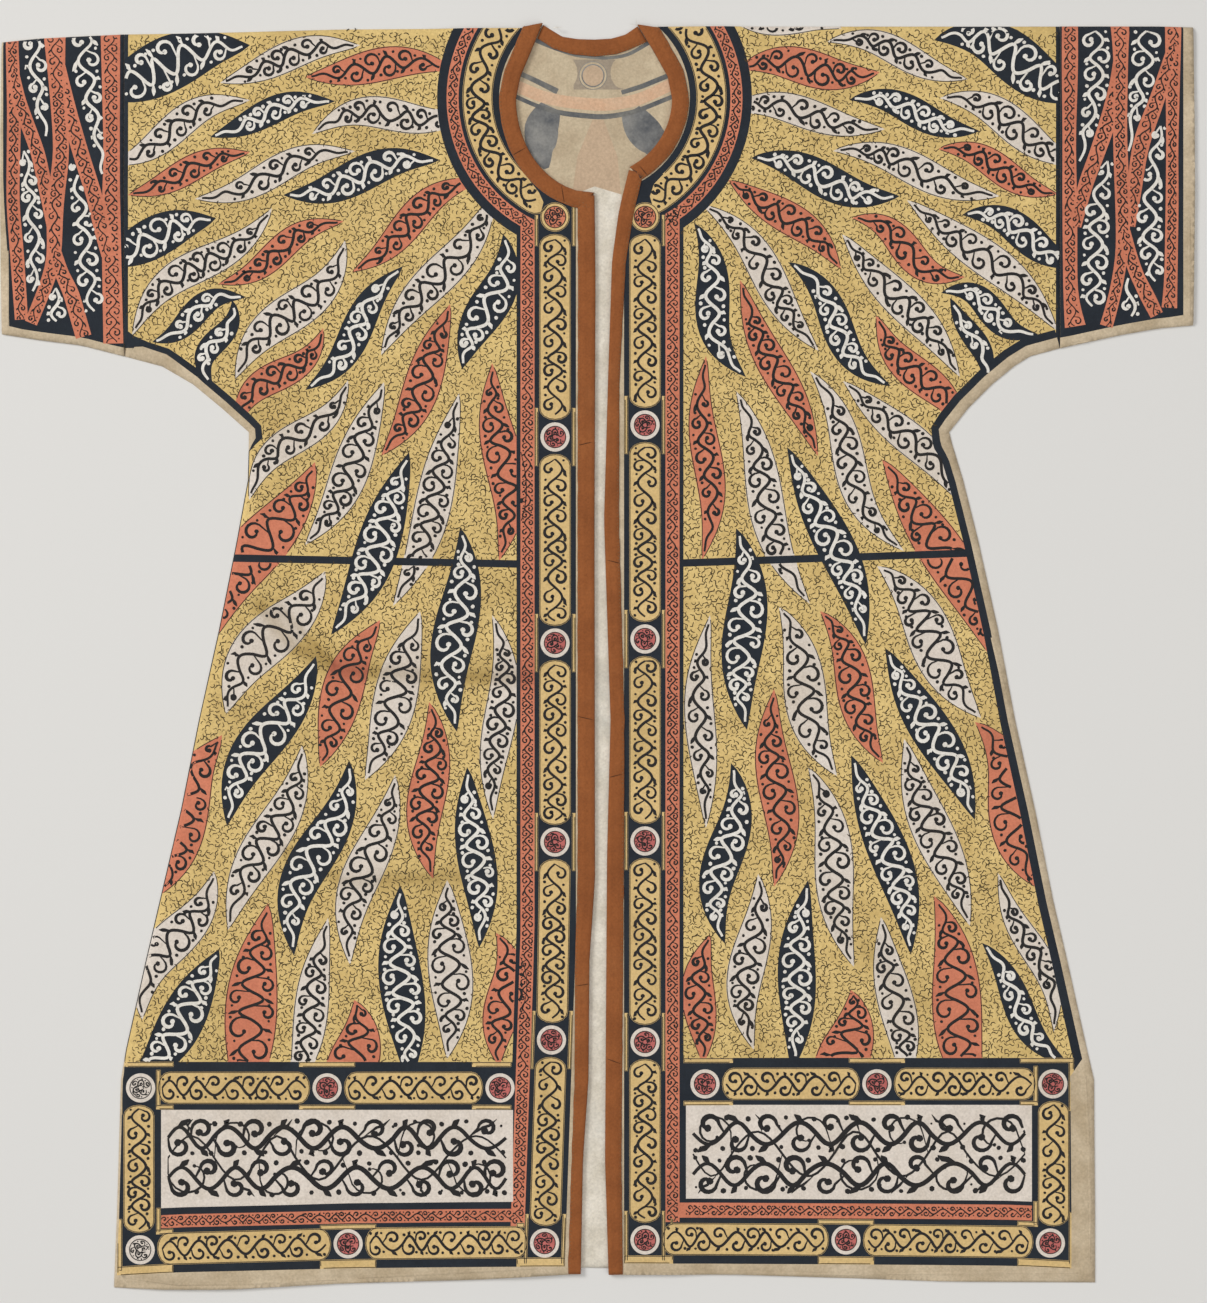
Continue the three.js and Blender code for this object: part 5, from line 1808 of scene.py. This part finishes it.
def stitch_shape():
    """One stitch: a low bar with tapered ends, lying along X."""
    half, wide, high = STITCH["long"] / 2, STITCH["wide"] / 2, STITCH["high"]
    corners = [(-half, 0, 0), (-half * 0.5, wide, 0), (-half * 0.5, -wide, 0), (-half * 0.5, 0, high)]
    corners += [(half, 0, 0), (half * 0.5, wide, 0), (half * 0.5, -wide, 0), (half * 0.5, 0, high)]
    faces = [(0, 3, 1), (0, 2, 3), (4, 5, 7), (4, 7, 6), (1, 3, 7, 5), (3, 2, 6, 7), (2, 1, 5, 6)]
    return mesh_object("stitch", corners, faces, ["thread"], soft=False)


def stitch_tree():
    """Turns the edges of a mesh into curves and sets a stitch along them at an even pitch."""
    tree, given = new_tree("running_stitches", "Sewing", {
        "Lines": "Geometry", "Pitch": "Float", "Stitch": "Object", "Thread": "Material",
    })
    curves = add(tree, "GeometryNodeMeshToCurve", {"Mesh": given["Lines"]})
    places = add(tree, "GeometryNodeCurveToPoints", {
        "Curve": curves.outputs[0], "Length": given["Pitch"],
    }, mode="LENGTH")
    stitch = add(tree, "GeometryNodeObjectInfo", {"Object": given["Stitch"]})
    along = add(tree, "FunctionNodeAlignRotationToVector", {"Vector": places.outputs["Tangent"]}, axis="X")
    sewn = add(tree, "GeometryNodeInstanceOnPoints", {
        "Points": places.outputs["Points"], "Instance": stitch.outputs["Geometry"],
        "Rotation": along.outputs[0],
    })
    real = add(tree, "GeometryNodeRealizeInstances", {"Geometry": sewn.outputs[0]})
    threaded = add(tree, "GeometryNodeSetMaterial", {
        "Geometry": real.outputs[0], "Material": given["Thread"],
    })
    add(tree, "NodeGroupOutput", {0: threaded.outputs[0]})
    return tree


STITCHES, STITCH_SHAPE = stitch_tree(), stitch_shape()
for node, line in SEWN_LINES.items():
    corners = np.array([tuple(hit) for hit in dropped(node, line) if hit is not None]) * MM
    mesh = bpy.data.meshes.new("line")
    mesh.from_pydata(corners.tolist(), [(k, k + 1) for k in range(len(corners) - 1)], [])
    made = from_nodes(f"stitches_{node}", mesh, STITCHES, {
        "Pitch": STITCH["pitch"] * MM, "Stitch": STITCH_SHAPE, "Thread": FINISHES["thread"],
    })
    INKS.append((made, "rust_tape"))
bpy.data.objects.remove(STITCH_SHAPE)


# %% Loose thread ends at the points of the neck
THREAD_ENDS, THREAD_STEPS = 4, 6


def thread_end(name, start, reach, seed):
    """A few frayed ends of thread that lie over the cloth beside a corner."""
    chance = random.Random(seed)
    corners, faces = [], []
    for _ in range(THREAD_ENDS):
        turn = math.radians(reach + chance.uniform(-28, 28))
        length, curl = chance.uniform(4, 9), chance.uniform(-0.6, 0.6)
        for k in range(THREAD_STEPS + 1):
            share = k / THREAD_STEPS
            way = turn + curl * share
            x, y = start[0] + math.cos(way) * length * share, start[1] + math.sin(way) * length * share
            z, thick = 5.6 + 1.3 * math.sin(share * 2.2), 0.32 * (1 - 0.7 * share)
            for side_turn in range(4):
                a = math.pi / 2 * side_turn
                out, rise = math.cos(a) * thick, math.sin(a) * thick
                corners.append((x - math.sin(way) * out, y + math.cos(way) * out, z + rise))
        base = len(corners) - 4 * (THREAD_STEPS + 1)
        for k in range(THREAD_STEPS):
            for m in range(4):
                a, b = base + 4 * k + m, base + 4 * k + (m + 1) % 4
                faces.append((a, b, b + 4, a + 4))
    return mesh_object(name, corners, faces, ["white_ink"])


INKS.append((thread_end("thread_end_left", (-44, 628), 20, 3), "painted_cotton"))
INKS.append((thread_end("thread_end_right", (40, 630), 130, 4), "painted_cotton"))

# %% [markdown]
# ## Floor, light and camera
#
# The shirt is seen from straight above, so the camera hangs over its middle. A long lens keeps
# the view free of perspective. One large soft light comes from the upper left, low enough to
# let the creases shade, and a fill keeps the shadows open.

# %% Stage
PHOTO = {"wide": 1207, "high": 1303, "x": 6, "y": 4.5}
LENS, SENSOR = 85, 36


def plain_material(name, colour, rough):
    material = bpy.data.materials.new(name)
    material.use_nodes = True
    tree = material.node_tree
    tree.nodes.clear()
    shader = add(tree, "ShaderNodeBsdfPrincipled", {"Base Color": linear(colour), "Roughness": rough})
    add(tree, "ShaderNodeOutputMaterial", {"Surface": shader.outputs[0]})
    return material


FINISHES["floor"] = plain_material("pale_matt_board", "#dcdad6", 0.9)
FLOOR_REACH = 6000
FLOOR_CORNERS = [(a * FLOOR_REACH, b * FLOOR_REACH, -0.05) for a, b in ((-1, -1), (1, -1), (1, 1), (-1, 1))]
FLOOR = mesh_object("floor", FLOOR_CORNERS, [(0, 1, 2, 3)], ["floor"], soft=False)


def area_light(name, place, size, power):
    lamp = bpy.data.lights.new(name, "AREA")
    lamp.energy, lamp.size = power, size
    made = bpy.data.objects.new(name, lamp)
    made.location = place
    made.rotation_mode = "QUATERNION"
    made.rotation_quaternion = (-Vector(place)).to_track_quat("-Z", "Y")
    bpy.context.scene.collection.objects.link(made)
    return made


area_light("window_light", (-6, 3.4, 5), 3.2, 455)
area_light("fill_light", (2.4, -1.6, 2.6), 2.4, 26)
area_light("top_light", (0, 0, 4.2), 3, 44)
world = bpy.data.worlds.new("studio")
world.use_nodes = True
world.node_tree.nodes["Background"].inputs["Color"].default_value = (1, 1, 1, 1)
world.node_tree.nodes["Background"].inputs["Strength"].default_value = 0.32
bpy.context.scene.world = world
bpy.context.scene.view_settings.view_transform = "Standard"

camera = bpy.data.objects.new("camera", bpy.data.cameras.new("camera"))
camera.data.lens, camera.data.sensor_width = LENS, SENSOR
distance = PHOTO["high"] * MM / 2 * LENS / (SENSOR / 2)
camera.location = (PHOTO["x"] * MM, PHOTO["y"] * MM, distance + 0.004)
bpy.context.scene.collection.objects.link(camera)
bpy.context.scene.camera = camera

# %% [markdown]
# ## Bodies
#
# Nothing moves, so every piece rides on the one body. The table below gives the size that each
# sheet was cut to.

# %% Ride and replace
CUT = {
    "painted_front_left": ("front_left", (0.484, 1.264), 0.531, "painted_cotton"),
    "painted_front_right": ("front_right", (0.492, 1.26), 0.538, "painted_cotton"),
    "painted_sleeve_end_left": ("sleeve_end_left", (0.124, 0.64), 0.0751, "painted_sleeve"),
    "painted_sleeve_end_right": ("sleeve_end_right", (0.135, 0.64), 0.0817, "painted_sleeve"),
    "back_panel": ("back", (0.969, 1.25), 1.078, "bare_cotton"),
}
for name, (node, flat, area, finish) in CUT.items():
    piece = bpy.data.objects[name]
    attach(piece, "root")
    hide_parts(node)
for node, piece in TAPES.items():
    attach(piece, "root")
    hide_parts(node)
for piece, finish in INKS:
    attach(piece, "root")
